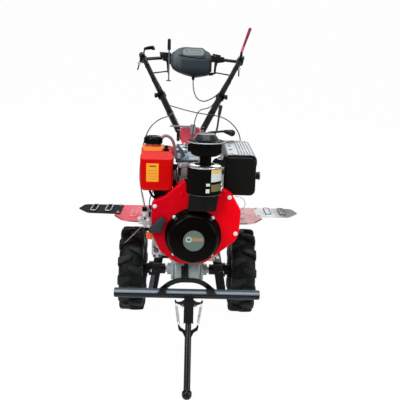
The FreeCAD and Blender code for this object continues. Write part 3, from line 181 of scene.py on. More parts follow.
class Finish:
    """A material with one Principled shader, and the nodes that vary it."""

    def __init__(self, name, **shader):
        self.material = bpy.data.materials.new(name)
        self.material.use_nodes = True
        self.tree = self.material.node_tree
        self.shader = self.tree.nodes["Principled BSDF"]
        self.set(**shader)
        self.place = Wire(self.tree, self.add("TexCoord").outputs["Object"])

    def set(self, **values):
        for name, value in values.items():
            plug(self.tree, self.shader.inputs[name.replace("_", " ")], value)

    def add(self, kind, settings=None, **values):
        """Adds a node: its settings are made first, and then its sockets are filled."""
        item = self.tree.nodes.new("ShaderNode" + kind)
        for name, value in (settings or {}).items():
            setattr(item, name, value)
        for name, value in values.items():
            wanted = name.replace("_", " ")
            slot = next(s for s in item.inputs if s.identifier == name or s.name == wanted)
            plug(self.tree, slot, value)
        return item

    def out(self, item, name=0):
        return Wire(self.tree, item.outputs[name])

    def noise(self, scale, detail=2, rough=0.5, where=None):
        item = self.add("TexNoise", Vector=where or self.place, Scale=scale, Detail=detail, Roughness=rough)
        return self.out(item, "Fac")

    def stretched_noise(self, scale, rough, stretch):
        """Noise in object coordinates that are stretched along each axis."""
        place = self.out(self.add("Mapping", Vector=self.place, Scale=stretch))
        return self.noise(scale, 2, rough, place)

    def band(self, value, low, high):
        """Maps a value from low..high onto 0..1, and holds it there outside."""
        return self.out(self.add("MapRange", {"clamp": True}, Value=value, From_Min=low, From_Max=high))

    def along(self, axis, low, high):
        """A share that grows from 0 to 1 between two places on an axis, in metres."""
        return self.band(self.out(self.add("SeparateXYZ", Vector=self.place), axis), low, high)

    def blend(self, share, first, second):
        item = self.add("Mix", {"data_type": "RGBA"}, Factor_Float=share, A_Color=first, B_Color=second)
        return self.out(item, 2)

    def bump(self, height, strength):
        self.set(Normal=self.out(self.add("Bump", Height=height, Strength=strength, Distance=0.001)))


print("materials before mixing:", len(bpy.data.materials))

# %% [markdown]
# ## Finishes
#
# ** Enamel.** The sheet metal is sprayed and baked. Up close, enamel has a faint orange peel,
# and a thin film of dust that dulls it in patches. Two noises give those: a fine one drives
# the bump, a broad one shifts the colour and the roughness. The shroud's red darkens towards
# one side with painted shade, and the fenders' enamel carries painted highlight streaks and
# pales towards the light with a painted highlight.

# %% Sprayed enamel


def enamel(name, colour, roughness=0.25, dust=0.05, coat=0.1, gleam=0.25, peel=0.04, painted_shade=None):
    finish = Finish(name, IOR=1.5, Specular_IOR_Level=gleam, Coat_Weight=coat, Coat_Roughness=0.08)
    film = finish.band(finish.noise(7, 5, 0.6), 0.35, 0.75)
    speck = finish.band(finish.noise(160, 3, 0.7), 0.6, 0.8)
    deep = finish.blend(film * 0.5, tone(colour), tone(colour, 0.82))
    # painted shade: the colour darkens along X towards the machine's right side
    if painted_shade:
        deep = finish.blend(finish.along("X", 0.03, -0.15), deep, tone(painted_shade))
    finish.set(Base_Color=finish.blend(speck * 0.25, deep, tone(colour, 0.9, dust)))
    finish.set(Roughness=roughness + film * 0.1 + speck * 0.08)
    finish.bump(finish.noise(420), peel)
    return finish.material


def fender_enamel(name, near, far, start, stop):
    """An enamel with painted highlight streaks, whose colour changes along X from the machine's middle out to
    its side.
    """
    finish = Finish(name, IOR=1.5, Coat_Weight=0.6, Coat_Roughness=0.12)
    # painted highlight: streaks lifted towards white
    painted_highlight_streak = finish.band(finish.stretched_noise(5, 0.5, (1, 2.5, 1)), 0.42, 0.62)
    base = finish.blend(painted_highlight_streak * 0.35, tone(near), tone(near, 1.2, 0.35))
    share = finish.along("X", start, stop)
    finish.set(Base_Color=finish.blend(share, base, tone(far)), Roughness=0.24 + painted_highlight_streak * 0.16)
    finish.bump(finish.noise(420), 0.02)
    return finish.material


# The shroud's red darkens towards the machine's right side with painted shade.
RED = enamel("red_enamel", (0.86, 0.001, 0.008), 0.2, 0.002, 0.04, 0.05, painted_shade=(0.5, 0.001, 0.01))
TANK_RED = enamel("tank_enamel", (0.58, 0.001, 0.001), 0.16, 0.002, 0.07, 0.1)
TUBE_BLACK = enamel("tube_enamel", (0.004, 0.004, 0.005), 0.16, 0.0, 0.25, 0.2, 0.0)
# The red casting's red is lifted towards pink: its own red with a painted highlight mixed in.
SEAT_RED_HIGHLIGHTED = enamel("red_casting_enamel_painted_highlight", (0.6, 0.06, 0.1), 0.2, 0.02, 0.6, 0.5)
BLACK = enamel("black_satin_enamel", (0.004, 0.004, 0.005), 0.24, 0.001, 0.1, 0.22, 0.01)
MUFFLER_BLACK = enamel("muffler_enamel", (0.007, 0.007, 0.0065), 0.2, 0.001, 0.04, 0.1)
GLOSS_BLACK = enamel("black_gloss_enamel", (0.002, 0.0015, 0.001), 0.14, 0.0, 0.02, 0.05)
MATT_BLACK = enamel("matt_black_enamel", (0.016, 0.022, 0.024), 0.5, 0.0, 0.0, 0.04)
# Dark red for the fender's hem, painted shade along its front edge.
HEM_SHADE_RED = enamel("hem_shade_enamel", (0.2, 0.002, 0.02), 0.4, 0.0, 0.0, 0.05)
# Pale pink for the fender's pressing, a painted highlight along its rim.
RIB_HIGHLIGHT_PINK = enamel("rib_highlight_enamel", (0.95, 0.5, 0.5), 0.4, 0.0, 0.0, 0.05)
SLATE = enamel("slate_enamel", (0.03, 0.036, 0.044), 0.36, 0.02)
GREY = enamel("grey_enamel", (0.2, 0.21, 0.22), 0.42, 0.04)
BOLT = enamel("bolt_zinc", (0.8, 0.77, 0.76), 0.25, 0.05, 0.2, 0.6)
# The right fender's red carries the painted highlight streaks.
FENDER_RED = fender_enamel("fender_enamel", (0.95, 0.08, 0.13), (0.9, 0.05, 0.08), -0.2, -0.32)
# The left fender is red like the right one. Its pale pink, deeper towards the outer edge, is a painted
# highlight.
FENDER_HIGHLIGHT_PINK = fender_enamel("fender_enamel_left_painted_highlight", (0.98, 0.6, 0.62), (0.95, 0.3, 0.32), 0.2, 0.34)
# The left fender extension's near white is a painted highlight, and it turns dark towards its outer end.
HIGHLIGHT_GREY = fender_enamel("painted_highlight_grey_enamel", (0.9, 0.92, 0.94), (0.12, 0.13, 0.14), 0.37, 0.45)
print("materials with enamel:", len(bpy.data.materials))

# %% [markdown]
# **Metal.** The crankcase and the gearbox are sand or die castings. They are pale, a little
# grainy, and stained darker where oil and dust settle. Plated and bare steel shows fine
# drawn lines.

# %% Cast and machined metal


def casting(name, colour, roughness=0.42, grain=0.35):
    finish = Finish(name, Metallic=0.75)
    stain = finish.band(finish.noise(11, 6, 0.65), 0.42, 0.7)
    pores = finish.noise(520, 3, 0.6)
    finish.set(Base_Color=finish.blend(stain * 0.5, tone(colour), tone(colour, 0.62)))
    finish.set(Roughness=roughness + stain * 0.15 + pores * 0.1)
    finish.bump(pores, grain)
    return finish.material


def steel(name, colour, roughness=0.28, drawn=(1, 1, 1)):
    """Zinc plate or bare steel: fine drawn lines and a few cloudy spots."""
    finish = Finish(name, Metallic=1.0)
    lines = finish.stretched_noise(90, 0.6, drawn)
    cloud = finish.band(finish.noise(25, 3), 0.4, 0.7)
    finish.set(Base_Color=finish.blend(cloud * 0.4, tone(colour), tone(colour, 0.75)))
    finish.set(Roughness=roughness + lines * 0.12 + cloud * 0.08)
    finish.bump(lines, 0.08)
    return finish.material


ALLOY = casting("cast_alloy", (0.55, 0.56, 0.57))
ALLOY_BRIGHT = casting("die_cast_alloy", (0.74, 0.75, 0.76), 0.34, 0.2)
COVER_GREY = casting("blue_grey_cover", (0.62, 0.8, 0.9), 0.4, 0.15)
GEAR_GREY = casting("gear_alloy", (0.46, 0.54, 0.55))
IRON = casting("cast_iron", (0.33, 0.34, 0.36), 0.55, 0.5)
ZINC = steel("zinc_plate", (0.66, 0.67, 0.68), 0.26, (1, 1, 6))
BRIGHT = steel("bright_steel", (0.8, 0.8, 0.81), 0.18, (1, 8, 1))
SHIELD = steel("shield_steel", (0.42, 0.46, 0.48), 0.3, (1, 4, 1))
DARK_STEEL = steel("dark_steel", (0.16, 0.16, 0.17), 0.35)
# A paler navy steel for the right rail's strip, a painted highlight.
RAIL_HIGHLIGHT_NAVY = steel("navy_steel_painted_highlight", (0.14, 0.155, 0.185), 0.2)
print("materials with metal:", len(bpy.data.materials))

# %% [markdown]
# The bumper's navy enamel is so glossy that it reads as three bands: dark below, a bright
# line where it mirrors the sky, and a deep tone on top. These lamps don't give that line,
# so two ramps along the height paint it as a painted reflection, and paint the dark band
# below as painted shade.

# %% Bumper enamel
bumper = Finish("bumper_enamel", IOR=1.5, Specular_IOR_Level=0.2, Coat_Weight=0.2, Roughness=0.25)
line, crest = bumper.along("Z", 0.3205, 0.325), bumper.along("Z", 0.3275, 0.33)
# painted shade below the line, then a painted reflection line
shade_and_reflection_tones = bumper.blend(line, tone((0.004, 0.006, 0.008)), tone((0.22, 0.27, 0.33)))
bumper.set(Base_Color=bumper.blend(crest, shade_and_reflection_tones, tone((0.05, 0.065, 0.08))))
print("bumper enamel:", len(bumper.tree.nodes), "nodes")

# %% [markdown]
# **Plastic and rubber.** Moulded plastic carries the fine spark texture of its mould. Rubber
# is duller, and a tyre holds grey dust in its low places.

# %% Moulded plastic, rubber and labels


def moulded(name, colour, roughness=0.45, grain=0.12, coat=0.0, gleam=0.3):
    finish = Finish(name, IOR=1.47, Specular_IOR_Level=gleam, Coat_Weight=coat, Coat_Roughness=0.1)
    spark = finish.noise(700, 2, 0.7)
    cloud = finish.noise(9, 4, 0.6)
    finish.set(Base_Color=finish.blend(cloud * 0.3, tone(colour), tone(colour, 0.75)))
    finish.set(Roughness=roughness + (spark if grain else cloud) * 0.14)
    if grain:
        finish.bump(spark, grain)
    return finish.material


def rubber(name, colour, dust, roughness):
    finish = Finish(name, IOR=1.45, Specular_IOR_Level=0.25)
    cloud = finish.band(finish.noise(14, 6, 0.7), 0.45, 0.75)
    finish.set(Base_Color=finish.blend(cloud * 0.6, tone(colour), tone(dust)))
    finish.set(Roughness=roughness + cloud * 0.2)
    finish.bump(finish.noise(300, 4, 0.7), 0.25)
    return finish.material


TYRE = rubber("tyre_rubber", (0.002, 0.002, 0.0025), (0.005, 0.006, 0.006), 0.5)
# The bars' rubber is lighter and bluer than the carcass: a painted highlight on the bar tops, with the same
# dust noise.
TREAD_HIGHLIGHT = rubber("tread_rubber_painted_highlight", (0.007, 0.011, 0.012), (0.015, 0.02, 0.021), 0.42)
GRIP = rubber("grip_rubber", (0.006, 0.006, 0.007), (0.01, 0.01, 0.01), 0.5)
PLASTIC = moulded("black_plastic", (0.002, 0.002, 0.002), 0.16, 0.02, 0.04, 0.12)
POD_EDGE = moulded("pod_edge_plastic", (0.03, 0.036, 0.04), 0.4, 0.0, 0.1, 0.4)
# A pale grey that paints the highlights on the bowl's rim and the dome's edges.
BOWL_HIGHLIGHT = moulded("bowl_highlight_plastic", (0.36, 0.39, 0.4), 0.2, 0.0, 0.6)
BOWL_TOP = moulded("bowl_top_plastic", (0.012, 0.018, 0.022), 0.3, 0.0, 0.15, 0.2)
SOOTY = moulded("sooty_alloy", (0.26, 0.26, 0.25), 0.5, 0.0)
FLAT_BLACK = moulded("flat_black_plastic", (0.0035, 0.0035, 0.0032), 0.35, 0.0, 0.0, 0.03)
PANEL_TOP = moulded("panel_inset_plastic", (0.2, 0.25, 0.24), 0.5, 0.0)
SLATE_PLASTIC = moulded("slate_plastic", (0.022, 0.021, 0.028), 0.45, 0.02)
ORANGE = moulded("orange_plastic", (0.85, 0.12, 0.02), 0.3, 0.03, 0.3)
LEVER_RED = moulded("red_lever_plastic", (0.27, 0.006, 0.03), 0.3, 0.02, 0.4)
LEVER_PINK = moulded("pink_lever_plastic", (0.62, 0.12, 0.16), 0.3, 0.03, 0.4)
BADGE = moulded("badge_plastic", (0.115, 0.165, 0.14), 0.4, 0.0, 0.1)
SHEATH = moulded("cable_sheath", (0.035, 0.035, 0.037), 0.38, 0.0)
HOSE = moulded("fuel_hose", (0.26, 0.13, 0.155), 0.25, 0.0, 0.4)
AMBER = moulded("amber_neck", (0.95, 0.24, 0.03), 0.25, 0.0, 0.5, 0.5)
AMBER_DEEP = moulded("amber_deep", (0.5, 0.05, 0.004), 0.25, 0.0, 0.5, 0.5)
HOLE_BLACK = moulded("hole_black", (0.002, 0.002, 0.002), 0.6, 0.02)
LABEL_AMBER = moulded("amber_label", (0.92, 0.36, 0.012), 0.4, 0.0)
LABEL_DULL = moulded("dull_amber_label", (0.36, 0.22, 0.12), 0.4, 0.0)
LABEL_PALE = moulded("pale_label", (0.6, 0.68, 0.66), 0.4, 0.02)
LABEL_STRAW = moulded("straw_label", (0.7, 0.52, 0.16), 0.4, 0.0)
LABEL_GOLD = moulded("gold_label", (0.18, 0.135, 0.055), 0.4, 0.02)
LABEL_WHITE = moulded("white_label", (0.7, 0.7, 0.68), 0.4, 0.02)
print("materials with plastic:", len(bpy.data.materials))

# %% [markdown]
# The control panel's pod is one slate plastic. Painted light makes it paler towards its end
# and its brow, and painted shade darkens its chin, which faces the ground.

# %% Panel plastic
panel = Finish("panel_plastic", IOR=1.47, Specular_IOR_Level=0.12, Roughness=0.45)
# painted light on the pod's end and brow, and painted shade on its chin
painted_light_at_end = panel.along("X", -0.05, -0.09) * panel.along("Z", 0.945, 1.0)
painted_light_at_brow, painted_shade_at_chin = panel.along("Z", 1.0, 1.04), panel.along("Z", 0.972, 0.925)
pod_tone = panel.blend(painted_light_at_end, tone((0.023, 0.033, 0.04)), tone((0.11, 0.13, 0.155)))
pod_tone = panel.blend(painted_light_at_brow * 0.5, pod_tone, tone((0.16, 0.185, 0.2)))
panel.set(Base_Color=panel.blend(painted_shade_at_chin, pod_tone, tone((0.003, 0.005, 0.006))))
PANEL = panel.material
print("finishes:", len(bpy.data.materials))

# %% [markdown]
# Each CAD part keeps its shape and gets its finish in its material slots. The parts that
# are rebuilt further down, such as the tyres, need no paint here.

# %% Paint the parts
PAINTED = (
    (RED, "fan_shroud"), (TANK_RED, "fuel_tank"), (SEAT_RED_HIGHLIGHTED, "handlebar_seat swivel_head"),
    (FENDER_RED, "fender_right"), (FENDER_HIGHLIGHT_PINK, "fender_left"), (bumper.material, "bumper_tube"),
    (BLACK, "rim_left rim_right wheel_hub_left wheel_hub_right bed_strut stand_leg panel_brackets"),
    (BLACK, "tank_bracket air_cleaner_bracket clutch_lever_bracket gear_lever reverse_lever"),
    (BLACK, "bumper_arch stand_bracket frame_rails"), (GLOSS_BLACK, "recoil_cover"),
    (TUBE_BLACK, "handlebar_lower_tubes handlebar_upper_tubes cross_tubes"),
    (MUFFLER_BLACK, "muffler"), (MATT_BLACK, "fender_extension_right"),
    (HIGHLIGHT_GREY, "fender_extension_left"), (GREY, "swivel_lock"), (GEAR_GREY, "gearbox_housing"),
    (ALLOY, "engine_block clutch_housing cylinder"), (ALLOY_BRIGHT, "cylinder_head"),
    (COVER_GREY, "rocker_cover"), (IRON, "rear_hitch"), (DARK_STEEL, "shift_lever"),
    (ZINC, "axle_stub_left axle_stub_right governor_unit"), (SHIELD, "muffler_heat_shield"),
    (PLASTIC, "tube_clamps throttle_lever"), (LEVER_RED, "clutch_lever"), (SHEATH, "panel_cable"))
for finish, names in PAINTED:
    for name in names.split():
        for slot in node[name].material_slots:
            slot.material = finish
print("painted parts:", sum(len(names.split()) for _, names in PAINTED))

# %% [markdown]
# ## The studio
#
# A pale floor and soft lamps, high in front and at the sides. The background stays white
# because the floor and the world show white to the camera; the lamps are not turned up.

# %% Floor and world
FLOOR_REACH = 60
floor_mesh = bpy.data.meshes.new("floor")
corners = [(x * FLOOR_REACH, y * FLOOR_REACH, 0) for x, y in ((-1, -1), (1, -1), (1, 1), (-1, 1))]
floor_mesh.from_pydata(corners, [], [(0, 1, 2, 3)])
floor = bpy.data.objects.new("floor", floor_mesh)
scene.collection.objects.link(floor)

paper = Finish("studio_paper", Base_Color=tone((0.8, 0.8, 0.8)), Roughness=0.9)
seen = paper.out(paper.add("LightPath"), "Is Camera Ray") * 0.985
glow = paper.add("Emission", Color=tone((1, 1, 1)), Strength=1.0)
sheen = paper.add("MixShader", Fac=seen)
for start, end in ((paper.shader.outputs[0], sheen.inputs[1]), (glow.outputs[0], sheen.inputs[2]),
                   (sheen.outputs[0], paper.tree.nodes["Material Output"].inputs["Surface"])):
    paper.tree.links.new(start, end)
floor_mesh.materials.append(paper.material)

world = bpy.data.worlds.new("studio")
world.use_nodes = True
scene.world = world
air = world.node_tree
rays = air.nodes.new("ShaderNodeLightPath")
back = air.nodes["Background"]
back.inputs["Color"].default_value = tone((1, 1, 1))
plug(air, back.inputs["Strength"], Wire(air, rays.outputs["Is Camera Ray"]) * 0.72 + 0.28)
print("floor:", 2 * FLOOR_REACH, "m wide")

# %% [markdown]
# Large soft lamps give glossy enamel broad highlights with a soft edge, where a small lamp
# would leave a hard spot. A key, a fill, a top and a rear lamp are enough.

# %% Lamps


def lamp(name, place, target, size, watts):
    data = bpy.data.lights.new(name, "AREA")
    data.shape = "RECTANGLE"
    data.size, data.size_y = size
    data.energy = watts
    item = bpy.data.objects.new(name, data)
    direction = Vector(target) - Vector(place)
    item.matrix_world = Matrix.Translation(place) @ direction.to_track_quat("-Z", "Y").to_matrix().to_4x4()
    scene.collection.objects.link(item)


lamp("key", (-1.9, -2.6, 2.6), (0, -0.3, 0.6), (1.2, 1.6), 52)
lamp("fill", (2.6, -2.0, 1.6), (0, -0.3, 0.6), (1.4, 1.6), 32)
lamp("top", (0, -0.75, 3.2), (0, -0.4, 0.6), (2.6, 1.5), 62)
lamp("rear", (0.6, 2.8, 1.8), (0, 0, 0.7), (2.0, 1.2), 25)
scene.view_settings.view_transform = "Standard"
print("lamps:", len(bpy.data.lights))

# %% [markdown]
# ## Mesh kit
#
# Pieces are drawn in the machine's own millimetres, then carried into the frame in one
# step, so that each finished object sits at the origin with its place in its mesh. Each
# piece takes its one finish as its only material.


def dress(name, mesh, finish, body, angle=35):
    mesh.materials.clear()
    mesh.materials.append(finish)
    for polygon in mesh.polygons:
        polygon.use_smooth = True
    mesh.set_sharp_from_angle(angle=math.radians(angle))
    item = bpy.data.objects.new(name, mesh)
    scene.collection.objects.link(item)
    if body:
        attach(item, body)
    return item


def as_mesh(shape, name="seed"):
    mesh = bpy.data.meshes.new(name)
    shape.to_mesh(mesh)
    shape.free()
    return mesh


def moved(shape, matrix):
    bmesh.ops.transform(shape, matrix=matrix, verts=shape.verts)
    return shape


def gathered(shapes):
    """Several shapes as one."""
    whole = bmesh.new()
    for shape in shapes:
        whole.from_mesh(as_mesh(shape))
    return whole


def piece(name, shape, finish, body="chassis", place=MACHINE, angle=35):
    """Turns a bmesh into a finished piece that rides on a body."""
    bmesh.ops.remove_doubles(shape, verts=shape.verts, dist=0.001)
    moved(shape, place)
    bmesh.ops.recalc_face_normals(shape, faces=shape.faces)
    return dress(name, as_mesh(shape, name), finish, body, angle)


# %% [markdown]
# Four shapes do nearly all the work: a turned profile, a slab with an outline, a tube along
# a curve, and a loft from ring to ring. Drawing them point by point in a bmesh keeps full
# control of where each edge lies, which modifiers on a primitive wouldn't. First come the
# loft and the turned shape.

# %% Lofts and turned shapes


def loft(shape, rings):
    """Joins rings of vertices one after another, and closes both ends."""
    for low, high in zip(rings, rings[1:]):
        for k in range(len(low)):
            n = (k + 1) % len(low)
            shape.faces.new([low[k], low[n], high[n], high[k]])
    shape.faces.new(rings[0])
    shape.faces.new(rings[-1])
    return shape


def turned(profile, steps=48):
    """A shape turned about Z from (radius, height) points, closed at both ends."""
    shape = bmesh.new()
    rings = []
    for radius, height in profile:
        if radius < 0.01:
            rings.append([shape.verts.new((0, 0, height))])
            continue
        angles = [2 * math.pi * i / steps for i in range(steps)]
        rings.append([shape.verts.new((radius * math.cos(a), radius * math.sin(a), height)) for a in angles])
    for low, high in zip(rings, rings[1:]):
        for i in range(steps):
            k = (i + 1) % steps
            corners = [low[i % len(low)], low[k % len(low)], high[k % len(high)], high[i % len(high)]]
            unique = list(dict.fromkeys(corners))
            if len(unique) > 2:
                shape.faces.new(unique)
    for ring in (rings[0], rings[-1]):
        if len(ring) > 1 and profile[0] != profile[-1]:
            shape.faces.new(ring)
    return shape


coin = turned([(0, 0), (10, 0), (10, 2), (0, 2)])
print("faces of a turned coin:", len(coin.faces))
coin.free()

# %% [markdown]
# Brackets, covers and labels are pressed or cut from flat stock. A slab grows an outline to
# its thickness and breaks all its edges with a bevel, because a real edge catches light.

# %% Slabs


def slab(outline, thickness, bevel=0.0, segments=2):
    """A flat plate from an outline in its own X and Y, with softened edges."""
    shape = bmesh.new()
    base = shape.faces.new([shape.verts.new((x, y, 0)) for x, y in outline])
    grown = bmesh.ops.extrude_face_region(shape, geom=[base])
    top = [item for item in grown["geom"] if isinstance(item, bmesh.types.BMVert)]
    bmesh.ops.translate(shape, vec=(0, 0, thickness), verts=top)
    if bevel:
        bmesh.ops.bevel(
            shape, geom=list(shape.edges), offset=bevel, segments=segments, affect="EDGES", profile=0.5)
    return shape


def rounded(width, height, radius, steps=5):
    """A rectangle's outline about the origin, with round corners."""
    points = []
    for number, (sx, sy) in enumerate(((1, 1), (-1, 1), (-1, -1), (1, -1))):
        centre = Vector((sx * (width / 2 - radius), sy * (height / 2 - radius)))
        for i in range(steps + 1):
            angle = math.pi / 2 * (number + i / steps)
            points.append((centre.x + radius * math.cos(angle), centre.y + radius * math.sin(angle)))
    return points


print("points of a round-cornered rectangle:", len(rounded(40, 20, 4)))

# %% [markdown]
# Hoses, wires and levers are tubes. A NURBS line smooths a few chosen points into a route,
# and a ring of points is carried along it without twisting.

# %% Tubes


def smooth_route(points):
    """The points of a NURBS line that has the given points as its controls."""
    curve = bpy.data.curves.new("route", "CURVE")
    curve.dimensions = "3D"
    curve.resolution_u = 6
    spline = curve.splines.new("NURBS")
    spline.points.add(len(points) - 1)
    for control, point in zip(spline.points, points):
        control.co = (*point, 1)
    spline.order_u = 3
    spline.use_endpoint_u = True
    holder = bpy.data.objects.new("route", curve)
    scene.collection.objects.link(holder)
    line = bpy.data.meshes.new_from_object(holder.evaluated_get(bpy.context.evaluated_depsgraph_get()))
    path = [vertex.co.copy() for vertex in line.vertices]
    bpy.data.objects.remove(holder)
    bpy.data.curves.remove(curve)
    bpy.data.meshes.remove(line)
    return path


def tube(points, radius, sides=10):
    """A round tube along a smooth curve through the air, as a bmesh in the machine's axes."""
    path = smooth_route(points)
    shape = bmesh.new()
    rings = []
    normal = None
    for i, here in enumerate(path):
        along = (path[min(i + 1, len(path) - 1)] - path[max(i - 1, 0)]).normalized()
        if normal is None:
            normal = along.orthogonal().normalized()
        normal = (normal - along * normal.dot(along)).normalized()
        across = along.cross(normal)
        turns = [2 * math.pi * k / sides for k in range(sides)]
        spokes = [normal * math.cos(turn) + across * math.sin(turn) for turn in turns]
        rings.append([shape.verts.new(here + spoke * radius) for spoke in spokes])
    return loft(shape, rings)


print("points of a smooth bend:", len(smooth_route([(0, 0, 0), (50, 0, 0), (50, 50, 0)])))

# %% [markdown]
# Most pieces stand somewhere on the machine and face a direction. Short helpers cut, stand
# and dress each kind in one line.

# %% Pieces in one line


def stand_at(point, direction, spin=0.0):
    """A matrix that stands a shape's Z axis on a point of the machine, along a direction."""
    turn = Vector(direction).to_track_quat("Z", "Y").to_matrix().to_4x4()
    return MACHINE @ Matrix.Translation(point) @ turn @ Matrix.Rotation(spin, 4, "Z")


def plate(name, outline, y, thickness, finish, bevel=0.0, body="chassis", segments=2):
    """A plate that faces the front: its outline is in X and Z, and its back is at a depth Y."""
    return piece(name, slab(outline, thickness, bevel, segments), finish, body, stand_at((0, y, 0), FRONT))


def block(name, size, point, thickness, finish, bevel=0.0, direction=FRONT, segments=2):
    """A round-cornered plate of (width, height, corner radius) that stands on a point."""
    shape = slab(rounded(*size), thickness, bevel, segments)
    return piece(name, shape, finish, place=stand_at(point, direction))


def lathe(name, profile, finish, place, steps=48, body="chassis", angle=35):
    return piece(name, turned(profile, steps), finish, body, place, angle)


def pipe(name, route, radius, finish, sides=10, body="chassis"):
    return piece(name, tube(route, radius, sides), finish, body, angle=60)


print("the axle's middle:", [round(v, 3) for v in stand_at((0, 0, 0), FRONT).translation])

# %% [markdown]
# ## Geometry Nodes kit
#
# A recipe is a Geometry Nodes tree with named inputs. It always ends in Realize Instances
# and Set Material. `grow` runs a recipe on a small mesh and keeps the result as plain mesh.

# %% Recipes


class Recipe:
    def __init__(self, name, **sizes):
        self.tree = bpy.data.node_groups.new(name, "GeometryNodeTree")
        face = self.tree.interface
        face.new_socket("Geometry", in_out="INPUT", socket_type="NodeSocketGeometry")
        kinds = {int: "NodeSocketInt", float: "NodeSocketFloat"}
        self.names = {}
        for title, value in sizes.items():
            socket = face.new_socket(title.replace("_", " "), in_out="INPUT", socket_type=kinds[type(value)])
            socket.default_value = value
            self.names[title] = socket.identifier
        finish = face.new_socket("Finish", in_out="INPUT", socket_type="NodeSocketMaterial")
        self.names["Finish"] = finish.identifier
        face.new_socket("Geometry", in_out="OUTPUT", socket_type="NodeSocketGeometry")
        self.start = self.tree.nodes.new("NodeGroupInput")
        self.end = self.tree.nodes.new("NodeGroupOutput")

    def given(self, title):
        return self.start.outputs[title.replace("_", " ")]

    def feed(self, slot, value):
        if isinstance(value, bpy.types.NodeSocket):
            self.tree.links.new(value, slot)
        else:
            slot.default_value = value

    def add(self, kind, settings=None, **values):
        item = self.tree.nodes.new(kind)
        for name, value in (settings or {}).items():
            setattr(item, name, value)
        for name, value in values.items():
            for source in value if isinstance(value, list) else [value]:
                self.feed(item.inputs[name.replace("_", " ")], source)
        return item.outputs[0]

    def work_out(self, operation, *values):
        """A Math node with its values in order."""
        item = self.tree.nodes.new("ShaderNodeMath")
        item.operation = operation
        for slot, value in zip(item.inputs, values):
            self.feed(slot, value)
        return item.outputs[0]

    def finish(self, geometry):
        real = self.add("GeometryNodeRealizeInstances", Geometry=geometry)
        dressed = self.add("GeometryNodeSetMaterial", Geometry=real, Material=self.given("Finish"))
        self.tree.links.new(dressed, self.end.inputs[0])


def grow(name, recipe, seed, finish, body, place=None, angle=35, **sizes):
    """Runs a recipe on a seed mesh and returns the result as a finished piece."""
    holder = bpy.data.objects.new(name, seed)
    scene.collection.objects.link(holder)
    modifier = holder.modifiers.new("recipe", "NODES")
    modifier.node_group = recipe.tree
    for title, value in {**sizes, "Finish": finish}.items():
        modifier[recipe.names[title]] = value
    mesh = bpy.data.meshes.new_from_object(holder.evaluated_get(bpy.context.evaluated_depsgraph_get()))
    bpy.data.objects.remove(holder)
    if place is not None:
        mesh.transform(place)
    return dress(name, mesh, finish, body, angle)


def grown_mesh(recipe, seed, finish, **sizes):
    """A recipe's result as bare mesh, to be gathered into a larger piece."""
    item = grow("part", recipe, seed, finish, None, **sizes)
    mesh = item.data
    bpy.data.objects.remove(item)
    return mesh


print("node trees before the recipes:", len(bpy.data.node_groups))

# %% [markdown]
# **Rings.** Lugs on a tyre, ribs on a cap and lobes on a knob are all one shape repeated
# round an axle. This recipe turns copies of its seed about the Z axis.

# %% A ring of copies
ring_recipe = Recipe("ring_of_copies", Count=12, Turn=0.0)
spots = ring_recipe.add("GeometryNodePoints", Count=ring_recipe.given("Count"))
step = ring_recipe.work_out("DIVIDE", 2 * math.pi, ring_recipe.given("Count"))
index = ring_recipe.add("GeometryNodeInputIndex")
angle = ring_recipe.work_out("MULTIPLY_ADD", index, step, ring_recipe.given("Turn"))
turns = ring_recipe.add("ShaderNodeCombineXYZ", Z=angle)
ring_recipe.finish(ring_recipe.add(
    "GeometryNodeInstanceOnPoints", Points=spots, Instance=ring_recipe.given("Geometry"), Rotation=turns))
print("ring recipe:", len(ring_recipe.tree.nodes), "nodes")

# %% [markdown]
# **Bolts.** Nearly every bolt on such a machine is a plain hexagon head on a washer. The
# recipe puts one on each point of a cloud, turned to face along the point's own direction
# and scaled to its own width across the flats.

# %% Hexagon bolts on points
CORNER_RADIUS = 0.577  # of a hexagon one unit across the flats
FILLED = {"fill_type": "NGON"}
bolt_recipe = Recipe("hexagon_bolts", Washer_Width=1.85)
head = bolt_recipe.add("GeometryNodeMeshCylinder", FILLED, Vertices=6, Radius=CORNER_RADIUS, Depth=0.5)
head = bolt_recipe.add("GeometryNodeTransform", Geometry=head, Translation=(0, 0, 0.37))
crown = bolt_recipe.add(
    "GeometryNodeMeshCone", FILLED, Vertices=6, Radius_Bottom=CORNER_RADIUS, Radius_Top=0.45, Depth=0.09)
crown = bolt_recipe.add("GeometryNodeTransform", Geometry=crown, Translation=(0, 0, 0.62))
half_washer = bolt_recipe.work_out("MULTIPLY", bolt_recipe.given("Washer_Width"), 0.5)
washer = bolt_recipe.add("GeometryNodeMeshCylinder", FILLED, Vertices=20, Radius=half_washer, Depth=0.14)
washer = bolt_recipe.add("GeometryNodeTransform", Geometry=washer, Translation=(0, 0, 0.05))
bolt = bolt_recipe.add("GeometryNodeJoinGeometry", Geometry=[head, crown, washer])
aim = bolt_recipe.add("GeometryNodeInputNamedAttribute", {"data_type": "FLOAT_VECTOR"}, Name="facing")
wide = bolt_recipe.add("GeometryNodeInputNamedAttribute", {"data_type": "FLOAT"}, Name="across")
turn = bolt_recipe.add("FunctionNodeAlignRotationToVector", {"axis": "Z"}, Vector=aim)
bolt_recipe.finish(bolt_recipe.add(
    "GeometryNodeInstanceOnPoints", Points=bolt_recipe.given("Geometry"), Instance=bolt, Rotation=turn,
    Scale=wide))


